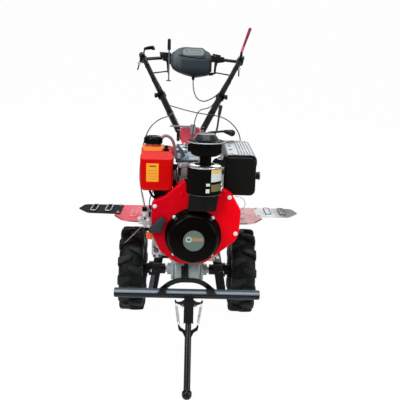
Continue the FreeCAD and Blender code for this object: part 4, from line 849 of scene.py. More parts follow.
def bolts(name, rows, finish=ZINC, body="chassis"):
    """Bolts from (point, direction, width across flats) rows, in the machine's millimetres."""
    cloud = bpy.data.meshes.new(name)
    cloud.from_pydata([spot(*row[0]) for row in rows], [], [])
    cloud.attributes.new("facing", "FLOAT_VECTOR", "POINT")
    cloud.attributes.new("across", "FLOAT", "POINT")
    for i, (_, direction, across) in enumerate(rows):
        cloud.attributes["facing"].data[i].vector = way(*direction)
        cloud.attributes["across"].data[i].value = across / 1000
    return grow(name, bolt_recipe, cloud, finish, body, angle=30)


def facing_front(y, *rows):
    """Bolt rows at one depth that face the front, from (x, z, width)."""
    return [((x, y, z), FRONT, width) for x, z, width in rows]


print("bolt recipe:", len(bolt_recipe.tree.nodes), "nodes")

# %% [markdown]
# ## Tyres
#
# A tractor tyre is a smooth carcass with tall bars of rubber. The bars run from near the
# middle of the crown out over the shoulder, left and right in turn, so that mud is pushed
# out sideways. The carcass is turned from its section, one bar is lofted along its own
# sweep, and the ring recipe repeats it. The result takes the plain CAD tyre's place.

# %% Carcass section and one bar
WHEEL_RADIUS = (tyre_high.z - tyre_low.z) * 500
HALF_TRACK = 250
BARS = 13
SIDEWALL = [(103, -38.5), (112, -38.5), (116, -43), (122, -48), (133, -52), (146, -53.5)]
CROWN = [(-36, -51), (-28, -47.5), (-22, -41), (-17.5, -32), (-15.5, -18), (-15, 0)]
SECTION = SIDEWALL + [(WHEEL_RADIUS + drop, height) for drop, height in CROWN]
BAR_STATIONS = (  # height, top, base, and the widths at the top and at the base
    (-7, -1.1, -23, 16, 24), (6, -0.3, -22, 22, 29), (22, -0.3, -22, 26, 33), (38, -0.9, -25, 30, 37),
    (49, -3.0, -30, 32, 39), (53.4, -8.0, -36, 33, 39), (54.9, -17, -42, 31, 37), (54.9, -35, -50, 25, 31))


def carcass():
    other = [(radius, -height) for radius, height in reversed(SECTION[:-1])]
    return turned(SECTION + other + [SECTION[0]], 96)


def bar():
    """One tread bar: from the crown's middle, out and back along the sweep, and down the shoulder."""
    shape = bmesh.new()
    rings = []
    for height, top, base, narrow, broad in BAR_STATIONS:
        sweep = 0.10 * (height + 7) / 62
        ring = []
        for drop, width in ((base, broad), (base, -broad), (top, -narrow), (top, narrow)):
            radius = WHEEL_RADIUS + drop
            angle = sweep + width / 2 / radius
            ring.append(shape.verts.new((radius * math.cos(angle), radius * math.sin(angle), height)))
        rings.append(ring)
    loft(shape, rings)
    bmesh.ops.recalc_face_normals(shape, faces=shape.faces)
    tops = [edge for edge in shape.edges if all(v.co.to_2d().length > WHEEL_RADIUS - 30 for v in edge.verts)]
    bmesh.ops.bevel(shape, geom=tops, offset=1.6, segments=2, affect="EDGES", profile=0.5)
    return shape


print("tyre radius:", round(WHEEL_RADIUS, 1), "mm")

# %% [markdown]
# One half of the tread is a ring of bars. The other half is the same bar mirrored across the
# wheel and turned by half a step, so that left and right bars meet in turn.

# %% Tyres with their bars
for side, name in SIDES:
    wheel = MACHINE @ Matrix.Translation((HALF_TRACK * side, 0, 0)) @ Matrix.Rotation(math.pi / 2, 4, "Y")
    tread = bmesh.new()
    for flip, shift in ((1, 0.0), (-1, math.pi / BARS)):
        one = bar()
        if flip < 0:
            bmesh.ops.scale(one, vec=(1, 1, -1), verts=one.verts)
            bmesh.ops.reverse_faces(one, faces=one.faces)
        tread.from_mesh(grown_mesh(ring_recipe, as_mesh(one), TYRE, Count=BARS, Turn=shift))
    # The bars take the lighter tread rubber, a painted highlight.
    piece(f"tread_{name}", tread, TREAD_HIGHLIGHT, f"{name}_wheel", wheel, 28)
    lugged = piece(f"tyre_carcass_{name}", carcass(), TYRE, f"{name}_wheel", wheel, 28)
    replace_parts(lugged, f"tyre_{name}")

# %% [markdown]
# ## Fasteners
#
# The covers are held by visible bolts. Each group rides on the body that it is screwed to.

# %% Bolts
CRANK_X, CRANK_Z = 18, 283
SHROUD_Y = -388
STAND_X = 8
lugs = facing_front(-392.3, *((CRANK_X + 75.3 * i, CRANK_Z + 75.3 * k, 8) for i in (-1, 1) for k in (-1, 1)))
rim = facing_front(SHROUD_Y, (-133, 398, 9), (155, 440, 9.5), (184, 295, 9.5), (117, 196, 7))
bolts("shroud_bolts", rim + lugs, BOLT)
bolts("shroud_boss", facing_front(SHROUD_Y, (-28, 449, 7)), RED)
cover_bolts = [((8 + x, -235 + y, 612), UP, 10) for x in (-34, 34) for y in (-46, 46)]
fender_bolts = [((side * x, y, 274), UP, 9) for side in (1, -1) for x, y in ((318, -34), (318, 94))]
plate_bolts = facing_front(-306, (-176, 362, 7), (-157, 352, 7), (-176, 300, 7), (-156, 322, 7))
sump_bolts = facing_front(-340, (-66, 190, 10), (-66, 226, 10))
bolts("engine_bolts", cover_bolts + fender_bolts + plate_bolts + sump_bolts)
bolts("hitch_bolts", [((x, 171.4, z), REAR, 13) for x in (-39, 39) for z in (140, 200)])
bolts("stand_pivot_bolts", [((STAND_X + 23.5 * side, -430, 8), (side, 0, 0), 13) for side in (1, -1)])
for side, name in SIDES:
    ring = [0.4 + 2 * math.pi * i / 5 for i in range(5)]
    flange = [((244.2 * side, 44 * math.cos(a), 44 * math.sin(a)), (side, 0, 0), 14) for a in ring]
    spokes = [(math.cos(a), math.sin(a)) for a in (0, 3.14)]
    collar = [((162 * side, 33 * y, 33 * z), (0, y, z), 9) for y, z in spokes]
    bolts(f"wheel_bolts_{name}", flange + collar, body=f"{name}_wheel")
print("meshes:", len(bpy.data.meshes))

# %% [markdown]
# ## Engine details
#
# The recoil cover carries a blank round badge. A painted pattern would lie flat, so a thin
# ring, a plain band and a small boss stand on it, and the light finds their edges.

# %% Badge


def disc(name, centre, radius, thick, finish, hole=0.0):
    """A thin round plate, or a ring, that faces the front."""
    edge = min(0.4, thick / 3)
    outer = [(radius, 0), (radius, thick - edge), (radius - edge, thick)]
    profile = [(hole, 0)] + outer + [(hole, thick)]
    lathe(name, profile + [profile[0]] if hole else profile, finish, stand_at(centre, FRONT))


disc("badge", (20, -450.2, 281), 41, 1.6, BADGE)
disc("badge_rim", (20, -451.6, 281), 41, 0.8, DARK_STEEL, hole=39.6)
disc("badge_boss", (1, -451.6, 286), 11, 1.2, LABEL_PALE, hole=7.5)
block("badge_band", (44, 14, 2), (34, -451.7, 287), 0.7, LABEL_DULL)
print("meshes:", len(bpy.data.meshes))

# %% [markdown]
# The air cleaner is a black canister with plain labels, two latches and a bowl with a faceted
# dome. The labels are thin curved plates of their own, because their edges stay sharp at
# any size of picture. Canister and bowl take the places of two plain CAD solids.

# %% Canister and its labels
CLEANER = (54, -400)
canister, neck_axis = upright_at(*CLEANER), upright_at(57, -400)
can = [(0, 457), (61, 457), (64.6, 460), (65, 463), (65, 561), (0, 561)]
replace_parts(lathe("canister_can", can, FLAT_BLACK, canister, 72), "air_cleaner")
lathe("canister_neck", [(0, 560), (22, 560), (22, 603), (0, 603)], FLAT_BLACK, neck_axis, 40)
lathe("canister_foot", [(64.8, 458.5), (66, 459), (66, 460.5), (64.8, 461)], DARK_STEEL, canister, 72)
trim = [(40, 560), (64, 560), (65, 562), (64.6, 565), (61, 568), (54, 569.6), (40, 571), (40, 560)]
lathe("canister_rim", trim, BRIGHT, canister, 64)


def patch(name, radius, start, stop, low, high, finish, thick=0.5):
    """A label on the canister: a thin curved plate between two angles, measured from the front."""
    shape = bmesh.new()
    rings = []
    steps = max(2, round((stop - start) / 5))
    for i in range(steps + 1):
        a = math.radians(start + (stop - start) * i / steps)
        inside, outside = radius - thick, radius + thick
        corners = ((inside, low), (outside, low), (outside, high), (inside, high))
        rings.append([shape.verts.new((r * math.sin(a), -r * math.cos(a), z)) for r, z in corners])
    piece(name, loft(shape, rings), finish, place=canister)


patch("label_upper", 65.2, 22, 80, 513, 543, LABEL_PALE)
patch("label_upper_band", 65.3, 22, 80, 543, 559, LABEL_STRAW)
patch("label_lower", 65.2, 23, 80, 476, 503, LABEL_GOLD)
patch("label_small_high", 65.2, 5.5, 18, 498, 508, LABEL_WHITE)
patch("label_small_low", 65.2, 4.6, 17, 472, 487, LABEL_WHITE)
print("meshes:", len(bpy.data.meshes))

# %% [markdown]
# Latches close the canister. The bowl above it takes in the air, and its lid is a low dome
# with ten flats, which is a turned shape with only ten steps round.

# %% Latches, bowl and dome
for angle in (72, 262):
    a = math.radians(angle)
    outward = (math.sin(a), -math.cos(a), 0)
    for name, size, away, z, thickness, finish, bevel in (
            ("canister_latch", (9, 44, 2), 62, 532, 2.2, BRIGHT, 0.6),
            ("bowl_clamp", (22, 30, 5), 56, 630, 9, PLASTIC, 2)):
        place = (CLEANER[0] + away * outward[0], CLEANER[1] + away * outward[1], z)
        block(name, size, place, thickness, finish, bevel, outward)
bowl = [(0, 602), (23, 602), (44, 604), (54, 609), (58, 618), (58.8, 652), (66.5, 653.5), (68, 656),
        (66.5, 660.5), (52, 664), (0, 664)]
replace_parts(lathe("cleaner_bowl", bowl, FLAT_BLACK, neck_axis, 64), "air_cleaner_bowl")
# A pale ring on the bowl's rim and a pale ring round the dome's top are painted highlights.
lip = [(67.6, 654.4), (69.2, 655), (69.4, 657), (67.6, 658.6), (67.6, 654.4)]
lathe("bowl_lip_highlight", lip, BOWL_HIGHLIGHT, neck_axis, 64)
dome = [(0, 661), (49, 661), (45, 668), (31, 685), (27, 687.5), (0, 687.5)]
lathe("bowl_dome", dome, BOWL_TOP, neck_axis, 10, angle=20)
dome_edge_highlight = [(30, 684.6), (31.8, 684.4), (31, 686.4), (29, 687.6), (30, 684.6)]
lathe("dome_edge_highlight", dome_edge_highlight, BOWL_HIGHLIGHT, neck_axis, 10, angle=20)
# Pale strips down the dome's two sides are painted highlights.
for side in (1, -1):
    ridge = [(57 + side * r, CLEANER[1], z) for r, z in ((49, 661.5), (45.2, 668), (31, 685))]
    pipe("dome_ridge_highlight", ridge, 1.5, BOWL_HIGHLIGHT, 8)
print("meshes:", len(bpy.data.meshes))

# %% [markdown]
# A bent brace runs from the air cleaner's neck to the muffler, and a strap lies behind the
# canister. Both are flat plates with an outline.

# %% Brace, union and strap
brace = [(85, 550), (85, 571), (93, 581), (101, 586), (109, 580), (124, 579), (130, 594), (137, 604),
         (137, 550)]
plate("intake_brace", brace, -340, 5, BLACK, 1)
union = [(105, 581), (107, 590), (116, 592), (124, 598), (125, 589), (116, 583)]
plate("intake_union", union, -339, 7, ALLOY, 2)
strap = [(-23, 510), (2, 511), (3, 459), (-3, 462), (-8, 472), (-12, 482), (-17, 494)]
plate("canister_strap", strap, -389, 3, BLACK, 0.8)
print("meshes:", len(bpy.data.meshes))

# %% [markdown]
# The muffler's cover is a perforated sheet. Real holes would need thousands of faces. A grid
# recipe sets small dark discs on the sloping top instead, which read as holes, and four
# larger ones run down one edge.

# %% Perforated shield
grid_recipe = Recipe("perforation_grid", Length=300.0, Width=60.0, Rows=30, Columns=6, Hole=2.4)
sheet = grid_recipe.add(
    "GeometryNodeMeshGrid", Size_X=grid_recipe.given("Width"), Size_Y=grid_recipe.given("Length"),
    Vertices_X=grid_recipe.given("Columns"), Vertices_Y=grid_recipe.given("Rows"))
hole = grid_recipe.add("GeometryNodeMeshCircle", FILLED, Vertices=10, Radius=grid_recipe.given("Hole"))
grid_recipe.finish(grid_recipe.add("GeometryNodeInstanceOnPoints", Points=sheet, Instance=hole))
SHIELD_SLOPE = math.atan2(14, 312)


def on_shield(x, y):
    """A place just above the muffler cover's sloping top."""
    height = 598.25 + math.tan(SHIELD_SLOPE) * (y + 330)
    return stand_at((x, y, height), (0, -math.sin(SHIELD_SLOPE), math.cos(SHIELD_SLOPE)))


grow("shield_holes", grid_recipe, bpy.data.meshes.new("seed"), HOLE_BLACK, "chassis", on_shield(213, -176),
     Length=292.0, Width=46.0, Rows=24, Columns=5, Hole=3.4)
for y in (-312, -232, -152, -72):
    piece("shield_mark", slab(rounded(15, 15, 7, 8), 0.4), HOLE_BLACK, place=on_shield(162, y))
for y in (-322, -30):
    piece("shield_fold", slab(rounded(84, 5, 2), 0.8, 0.2), BRIGHT, place=on_shield(196, y))
outlet_ring = [(15.2, 0), (17.5, 0), (17.5, 4), (15.2, 4), (15.2, 0)]
lathe("muffler_outlet_ring", outlet_ring, DARK_STEEL, stand_at((278.5, -262, 504), LEFT), 32)
print("meshes:", len(bpy.data.meshes))

# %% [markdown]
# The tank's filler is an amber platform under a ribbed cap. The cap's ribs are one small
# slab that the ring recipe repeats. A hose loops over from the tank towards the engine.

# %% Tank details
block("filler_platform", (85.2, 95.2, 9), (-147, -299, 604), 16, AMBER, 4, UP, 3)
filler = upright_at(-147, -298)
neck = [(0, 618), (31.5, 618), (30, 624), (29.6, 630), (0, 630)]
lathe("filler_neck", neck, AMBER_DEEP, filler)
cap = [(0, 630), (33.5, 630), (34.5, 632), (35, 650), (33.4, 655), (29, 658.4), (22, 659.4), (20, 657.8),
       (0, 658.2)]
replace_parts(lathe("ribbed_cap", cap, PLASTIC, filler, 56), "fuel_cap")
rib = slab(rounded(3.2, 4, 1), 20, 0.7)
bmesh.ops.translate(rib, vec=(34.7, 0, 631), verts=rib.verts)
grow("cap_ribs", ring_recipe, as_mesh(rib), PLASTIC, "chassis", filler, Count=26)
block("tank_label", (47, 71, 2), (-144.5, -371.9, 527), 0.7, LABEL_AMBER)
block("label_rule", (26, 5, 0.7), (-143.5, -372.5, 552), 0.5, DARK_STEEL)
for z in (535, 524, 513, 502):
    block("label_rule", (34, 1.6, 0.7), (-143.5, -372.5, z), 0.5, LABEL_DULL)
plug_profile = [(0, 0), (10, 0), (10, 12), (6.5, 14), (6.5, 24), (0, 24)]
lathe("tank_plug", plug_profile, PLASTIC, stand_at((-94, -330, 603), UP), 24)
hose = [(-122, -310, 622), (-117, -302, 642), (-110, -300, 657), (-98, -300, 662), (-85, -300, 658),
        (-74, -300, 648), (-66, -300, 632), (-63, -300, 612), (-60, -302, 588)]
pipe("fuel_hose_loop", hose, 6, HOSE, 12)
print("meshes:", len(bpy.data.meshes))

# %% [markdown]
# The head has a dark flange under its cover, a long stud, nuts and a lifter lever. They are
# seen from the front, so flat plates with the right outline are enough for most of them.

# %% Head details
block("cover_flange", (120, 142, 8), (2, -241, 557), 10, SLATE, 2, UP)
block("valve_gear_cover", (58, 96, 9), (-33, -250, 566), 46, COVER_GREY, 7, UP, 3)
shelf_bolts = [((-33 + x, -250 + y, 612), UP, 9) for x in (-18, 16) for y in (-34, 30)]
shelf_bolts += facing_front(-298, (-50, 600, 7), (-18, 600, 7), (-34, 580, 7))
bolts("valve_cover_bolts", shelf_bolts, DARK_STEEL)
plate("head_ledge", [(-52, 559), (-5, 560), (-4, 541), (-51, 540)], -313, 6, ALLOY, 1.5)
barrel_front = [(-37, 541), (-6, 541), (-9, 530), (-6, 522), (-11, 508), (-19, 501), (-37, 500)]
plate("barrel_front", barrel_front, -312, 6, SOOTY, 2)
# A black sheet in the gap beside the barrel is painted shade.
plate("barrel_gap_shade", [(-42, 543), (-36, 543), (-36, 512), (-41, 512)], -318.2, 1, HOLE_BLACK)
lathe("head_stud", [(0, 486), (3.4, 486), (3.4, 545), (0, 545)], DARK_STEEL, upright_at(-45.5, -316), 12)
plate("tank_stay", [(-69, 550), (-51, 550), (-50, 450), (-67, 450)], -300, 5, BLACK, 1)
plate("stay_rib", [(-65, 525), (-54, 525), (-53, 485), (-64, 485)], -304, 4, SOOTY, 1.5)
bolts("head_nuts", facing_front(-319, (-38.9, 547, 9)) + facing_front(-313, (40, 500, 10), (40, 530, 10)))
elbow = slab([(-13, 22), (22, 22), (22, 16), (30, 16), (30, 36), (20, 36), (14, 31), (-13, 31)], 8, 1.2)
piece("pipe_bracket", elbow, ALLOY_BRIGHT, place=stand_at((10, -313, 549), FRONT))
lever = slab([(-6, -6), (6, -6), (9, 20), (4, 44), (-4, 44), (-8, 20)], 5, 1)
piece("decompression_lever", lever, DARK_STEEL, place=stand_at((-28, -297, 585), FRONT, 0.5))
print("meshes:", len(bpy.data.meshes))

# %% [markdown]
# The governor's plate has a slot with a slide in it, a thin rod, and the light end of the
# throttle cable. A wire tail hangs from the speed knob's screw. None of the wires is coiled,
# so a tube along a few chosen points is enough for each.

# %% Governor's slide, rod and tail
block("plate_slot", (6, 40, 3), (-166, -305.8, 330), 0.6, HOLE_BLACK)
block("plate_slide", (15, 10, 2), (-168, -306, 336), 5, DARK_STEEL, 1)
block("plate_clip", (12, 18, 3), (-153, -303, 372), 7, BLACK, 1.5)
pipe("throttle_ferrule", [(-192, -290, 430), (-182, -299.5, 392), (-178, -303.5, 372.5)], 3.6, ZINC)
rod = [(-160, -303, 372), (-160, -303, 400), (-150, -304, 430), (-140, -305, 455)]
pipe("governor_rod", rod, 2.2, DARK_STEEL, 8)
tail = [(-170, -306.5, 300), (-186, -308, 297), (-206, -304, 274), (-232, -302, 246), (-259, -300, 218)]
pipe("wire_tail", tail, 0.9, ZINC, 6)
tab = slab([(-14, -12), (10, -16), (14, 2), (2, 16), (-14, 12)], 14, 3)
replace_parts(piece("speed_tab", tab, ORANGE, place=stand_at((-155, -322, 261), FRONT)), "speed_knob")
lathe("speed_stem", [(0, 0), (4, 0), (4, 18), (0, 18)], ZINC, stand_at((-154, -305.8, 266), FRONT), 16)
print("meshes:", len(bpy.data.meshes))

# %% [markdown]
# A cast cover with five screws closes the governor, and black plastic blocks sit around it.

# %% Governor's cover
GOVERNOR_Y = -306
cover = [(-189, 357), (-163, 363), (-151, 341), (-152, 289), (-179, 284), (-184, 302), (-201, 303),
         (-206, 329), (-189, 336)]
plate("governor_cover", cover, GOVERNOR_Y - 0.5, 9, ALLOY, 2)
screws = facing_front(-315.5, (-176, 345, 8), (-198, 329, 8), (-192, 308, 7), (-163, 323, 8), (-160, 296, 7))
bolts("governor_screws", screws, BOLT)
for x, z, width, height in ((-178, 366, 18, 17), (-168, 283, 22, 13), (-176, 328, 7, 9), (-157, 345, 8, 20)):
    block("governor_block", (width, height, 2), (x, GOVERNOR_Y, z), 12, PLASTIC, 2)
print("meshes:", len(bpy.data.meshes))

# %% [markdown]
# The starter's handle is a bent plastic bar: a thick slab with a wide bevel, which gives the
# softness of a moulding without sculpting. Black fuel lines hang below the tank, and a small
# cover closes the crankcase's side.

# %% Handle, lines and crankcase cover
handle = [(-155, 304), (-152, 314), (-128, 343), (-108, 361), (-100, 358), (-87, 347), (-96, 332),
          (-101, 303), (-128, 299), (-144, 295)]
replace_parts(plate("starter_handle", handle, -391, 28, SLATE_PLASTIC, 6, segments=3), "starter_grip")
fuel_line = [(-156, -346, 456), (-155, -348, 442), (-140, -350, 425), (-124, -350, 414), (-108, -350, 430),
             (-98, -348, 454)]
pipe("fuel_line", fuel_line, 4.5, PLASTIC)
return_line = [(-120, -340, 456), (-112, -342, 440), (-96, -342, 430), (-80, -340, 436), (-72, -336, 456)]
pipe("return_line", return_line, 4.5, PLASTIC)
plate("fuel_filter", [(-145, 453), (-94, 453), (-101, 427), (-125, 415), (-137, 422)], -324, 16, PLASTIC, 3)
stop_wire = [(178, -350, 436), (204, -352, 436), (219, -352, 418), (220, -352, 398), (206, -350, 381),
             (190, -349, 380)]
pipe("stop_wire", stop_wire, 1.1, HOSE, 6)
block("crankcase_cover", (34, 52, 6), (-124, -340, 200), 5, ALLOY_BRIGHT, 1.5)
cover_row = facing_front(-345, (-135, 219, 7), (-135, 181, 7), (-113, 181, 7), (-128, 205, 12))
bolts("crankcase_screws", cover_row, DARK_STEEL)
print("meshes:", len(bpy.data.meshes))

# %% [markdown]
# ## Control panel and hand controls
#
# The panel is a soft pod under a sloping brow. It could be a subdivided box, but a box's
# corners wander as it is smoothed. Here two outlines are walked round at even angles, one
# for the face and one for the whole, and a loft runs from the first to the second.

# %% The pod


def softened(corners, radius, steps=6):
    """An outline with each corner replaced by a short curve."""
    points = []
    for i, corner in enumerate(corners):
        here = Vector(corner)
        before = Vector(corners[i - 1]) - here
        after = Vector(corners[(i + 1) % len(corners)]) - here
        first = here + before * min(0.48, radius / before.length)
        last = here + after * min(0.48, radius / after.length)
        for k in range(steps + 1):
            t = k / steps
            points.append(first * (1 - t) ** 2 + here * 2 * t * (1 - t) + last * t * t)
    return points


POD = [(-94, 1000), (-75, 1014), (-43, 1022), (-10, 1021), (37, 1017), (75, 1007), (94, 999), (108, 986),
       (114, 954), (114, 908), (107, 882), (94, 866), (51, 858), (18, 852), (-1, 857), (-44, 868),
       (-82, 882), (-106, 896), (-120, 919), (-123, 956), (-117, 983), (-105, 993)]
POD_FACE = [(-78, 953), (-62, 970), (70, 966), (97, 949), (104, 890), (90, 872), (13, 864), (-60, 884),
            (-77, 903)]
POD_SIDES = 96
POD_MIDDLE = Vector((5, 930))
POD_LAYERS = (  # depth, share of the way from the face's outline to the whole one, and size
    (762, 0, 0.9), (762.6, 0, 0.95), (764.5, 0, 0.985), (768, 0.02, 1), (776, 0.22, 1), (786, 0.55, 1),
    (796, 0.86, 1), (803, 0.97, 1), (812, 1, 1), (846, 1, 1), (855, 1, 0.985), (860, 1, 0.95), (862, 1, 0.88))


def around(outline):
    """Points of an outline at even angles about the pod's middle."""
    points = []
    edges = list(zip(outline, outline[1:] + outline[:1]))
    for i in range(POD_SIDES):
        ray = Vector((math.cos(2 * math.pi * i / POD_SIDES), math.sin(2 * math.pi * i / POD_SIDES)))
        for first, last in edges:
            a, b = first - POD_MIDDLE, last - POD_MIDDLE
            side_a, side_b = ray.cross(a), ray.cross(b)
            if side_a <= 0 < side_b or side_b <= 0 < side_a:
                share = side_a / (side_a - side_b)
                if (a + (b - a) * share).dot(ray) > 0:
                    points.append(a + (b - a) * share)
                    break
    return points


whole_outline, face_outline = around(softened(POD, 9)), around(softened(POD_FACE, 14))
pod = bmesh.new()
rings = []
for y, share, size in POD_LAYERS:
    layer = [face + (whole - face) * share for face, whole in zip(face_outline, whole_outline)]
    points = [POD_MIDDLE + offset * size for offset in layer]
    rings.append([pod.verts.new((point.x, y, point.y)) for point in points])
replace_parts(piece("panel_pod", loft(pod, rings), PANEL, "handlebar", angle=40), "control_panel")

# %% [markdown]
# Four thin ovals, one on another, make the inset. Flat plates join the pod to the tubes, and
# a round outlet under it lets a cable out.

# %% Inset, lip and brackets
BROW = math.radians(56)
brow_place = stand_at((8, 784, 993), (0, -math.sin(BROW), math.cos(BROW)))
for name, width, height, top, finish in (
        ("inset_frame", 138, 58, 5.0, PANEL), ("inset_ring", 118, 44, 5.8, PANEL_TOP),
        ("inset_floor", 82, 24, 6.3, PANEL), ("inset_glass", 77, 19, 6.8, PANEL_TOP)):
    oval = slab(rounded(width, height, height / 2 - 1, 8), top + 3, 1.1)
    bmesh.ops.translate(oval, vec=(0, 0, -3), verts=oval.verts)
    piece(name, oval, finish, "handlebar", brow_place)
# A black line under the brow is a painted shadow of the brow's overhang.
brow_shadow_line = [(-76, 763, 977), (-52, 763, 972), (-16, 763, 966), (26, 763, 962), (66, 763, 960),
             (76, 764, 966)]
pipe("pod_brow_shadow_line", brow_shadow_line, 2.6, FLAT_BLACK, body="handlebar")
pod_lip = [(x, 763, z) for x, z in ((-70, 906), (-56, 890), (10, 870), (84, 878), (97, 892), (97, 930))]
pipe("pod_lip", pod_lip, 1.6, PANEL, 8, "handlebar")
BRACKET_Y = 806
for name, thickness, finish, bevel, outline in (
        ("bracket_plate", 4, BLACK, 1,
         [(-183, 991), (-122, 988), (-112, 970), (-111, 924), (-140, 926), (-151, 951), (-178, 962)]),
        ("bracket_plate", 4, BLACK, 1,
         [(100, 983), (112, 981), (132, 976), (183, 972), (186, 944), (148, 938), (139, 942), (101, 941)]),
        ("bracket_leg", 4, BLACK, 1,
         [(130, 943), (148, 941), (145, 928), (138, 908), (135, 889), (132, 889)]),
        ("pod_flank", 5, POD_EDGE, 1.5, [(98, 943), (113, 943), (114, 888), (99, 886)])):
    plate(name, outline, BRACKET_Y, thickness, finish, bevel, "handlebar")
foot = [(98, 866), (124, 870), (131, 884), (112, 886), (98, 878)]
plate("bracket_foot", foot, BRACKET_Y + 2, 8, BLACK, 2, "handlebar")
outlet = [(0, 0), (9, 0), (9, 13), (7, 14), (7, 22), (0, 22)]
lathe("pod_outlet", outlet, PLASTIC, stand_at((10.6, 798, 862), DOWN), 20, "handlebar")
print("meshes:", len(bpy.data.meshes))

# %% [markdown]
# The hand controls stand on the handlebar's two tubes, so places are given as a share of a
# tube's length on one side. The grips' ribs are part of the turned profile, made by a loop.

# %% Grips and levers on the tubes
TUBE_FOOT, GRIP_FRONT = Vector((58, 239, 620)), Vector((286, 865, 973))
GRIP_TILT = math.radians(12)


def on_tube(share, side):
    place = TUBE_FOOT + (GRIP_FRONT - TUBE_FOOT) * share
    return Vector((place.x * side, place.y, place.z))


def reach(side):
    """The direction of a grip, out towards the person who holds it."""
    return Vector((0.05 * side, 1, -math.sin(GRIP_TILT))).normalized()


ridged = [(0, 0), (13.4, 0), (17, 0), (17, 3), (15, 4.5)]
for i in range(13):
    z = 7 + i * 8.2
    ridged += [(15, z), (16.6, z + 1.4), (16.6, z + 4.6), (15, z + 6)]
ridged += [(15, 116), (17, 118), (16.6, 122), (0, 122)]
grips = gathered(moved(turned(ridged, 28), stand_at(on_tube(1, side) + reach(side) * 40, reach(side)))
                 for side in (1, -1))
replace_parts(piece("ribbed_grips", grips, GRIP, "handlebar", Matrix.Identity(4)), "hand_grips")
capsule = [(0, 0), (9.2, 0), (9.4, 4), (8.9, 6), (9.4, 10), (9.2, 50), (8.2, 56), (5.5, 60), (0, 61.5)]
lathe("shift_grip", capsule, GRIP, stand_at((-127, 750, 1001), UP), 24, "handlebar")
base, lean_out = on_tube(0.96, 1) + Vector((6, -8, 46)), Vector((40, -12, 124))
sleeve = [(0, 2), (7.4, 2), (7.8, 6), (8.1, 26), (7.6, 30), (0, 30)]
lathe("clutch_lever_sleeve", sleeve, LEVER_PINK, stand_at(base, lean_out), 24, "handlebar")
print("meshes:", len(bpy.data.meshes))

# %% [markdown]
# Each hand lever is a collar round its grip, a bent arm, a knuckle and a straight blade. The
# arms and blades are tubes along a few points, and both levers become one piece. Plastic
# ties hold the cables along each tube.

# %% Hand levers, knuckles and ties
COLLAR = [(13.2, -7), (17.5, -7), (17.5, 7), (13.2, 7), (13.2, -7)]
KNUCKLE = [(0, -9), (5, -8.5), (8.6, -5), (9.2, 0), (8.6, 5), (5, 8.5), (0, 9)]
LOWER_TUBE_SHARE = 0.43
parts = []
for side, bend, knuckle, tip in (
        (-1, [(-290, 866, 985), (-292, 868, 965), (-296, 870, 936)], (-301, 870, 924), (-311, 872, 886)),
        (1, [(280, 872, 960), (275, 878, 942), (275, 880, 924)], (275, 880, 911), (276, 884, 866))):
    knuckle, tip = Vector(knuckle), Vector(tip)
    at = on_tube(1, side) + reach(side) * 21
    collar_turn = reach(side).to_track_quat("Z", "Y").to_matrix().to_4x4()
    parts.append(moved(turned(COLLAR, 24), Matrix.Translation(at) @ collar_turn))
    parts.append(tube([at + Vector((-6 * side, 0, -12)), *bend, knuckle], 4.6))
    parts.append(tube([knuckle, (knuckle + tip) / 2, tip], 4))
    lathe("lever_knuckle", KNUCKLE, ZINC, stand_at(knuckle, tip - knuckle), 20, "handlebar")
    along = (on_tube(1, side) - on_tube(0, side)).normalized()
    for share in (0.2, 0.62, 0.82):
        radius = 16.2 if share < LOWER_TUBE_SHARE else 13.2
        tie = [(radius, -2.5), (radius + 1.4, -2.5), (radius + 1.4, 2.5), (radius, 2.5), (radius, -2.5)]
        lathe("cable_tie", tie, PLASTIC, stand_at(on_tube(share, side), along), 24, "handlebar")
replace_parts(piece("bent_hand_levers", gathered(parts), BLACK, "handlebar"), "hand_levers")
thumb = [(-272, 833, 1004), (-258, 831, 1010), (-238, 830, 1016), (-216, 830, 1017)]
pipe("thumb_pad", thumb, 6.5, PLASTIC, 12, "handlebar")
clamp_bolts = [((x * side, 809.4, z), FRONT, 10) for side in (1, -1) for x, z in ((130, 972), (150, 966))]
bolts("bracket_bolts", clamp_bolts, DARK_STEEL, "handlebar")
print("meshes:", len(bpy.data.meshes))

# %% [markdown]
# The outer fender plates have pressed straps. A thin tube follows each strap's rim: a painted
# highlight on the dark plate and painted shade on the pale one. Two more follow the inner
# plates' hem, in painted shade, and pressing, in a painted highlight.

# %% Strap edges
FENDER_INNER, FENDER_OUTER = 330, 505
HEM = [(150, -160.5), (215, -157), (258, -151), (284, -140), (308, -102), (328, -66)]
PRESSING = [(232, 66), (231.5, -40), (231.5, -82), (236, -89.5), (252, -89.5), (256.5, -82), (256.5, -40),
            (256, 66)]
# Strap edges: a painted highlight on the dark right plate, painted shade on the pale left plate.
for (side, name), finish in zip(SIDES, (BLACK, BOLT)):
    rims = []
    for share in (0.2, 0.58):
        middle = (FENDER_INNER + (FENDER_OUTER - FENDER_INNER) * share) * side
        outline = [(middle + x, 34 + y, 280.2) for x, y in rounded(25, 114, 8, 3)]
        rims.append(tube(outline + [outline[0]], 1.8, 6))
    piece(f"strap_edges_{name}", gathered(rims), finish, angle=60)
    # The hem tube is painted shade and the pressing tube is a painted highlight.
    pipe("fender_hem", [(side * x, y, 268.5) for x, y in HEM], 2.4, HEM_SHADE_RED, 8)
    pipe("fender_press", [(side * x, y, 275) for x, y in PRESSING], 1.7, RIB_HIGHLIGHT_PINK, 8)
print("meshes:", len(bpy.data.meshes))

# %% [markdown]
# The arch's feet lap over the bumper. A plate with flared ends stiffens the engine's strut,
# and a lighter strip on the right rail is a painted highlight. Each is a thin slab laid on
# the CAD part that carries it, which leaves the part itself as it is.

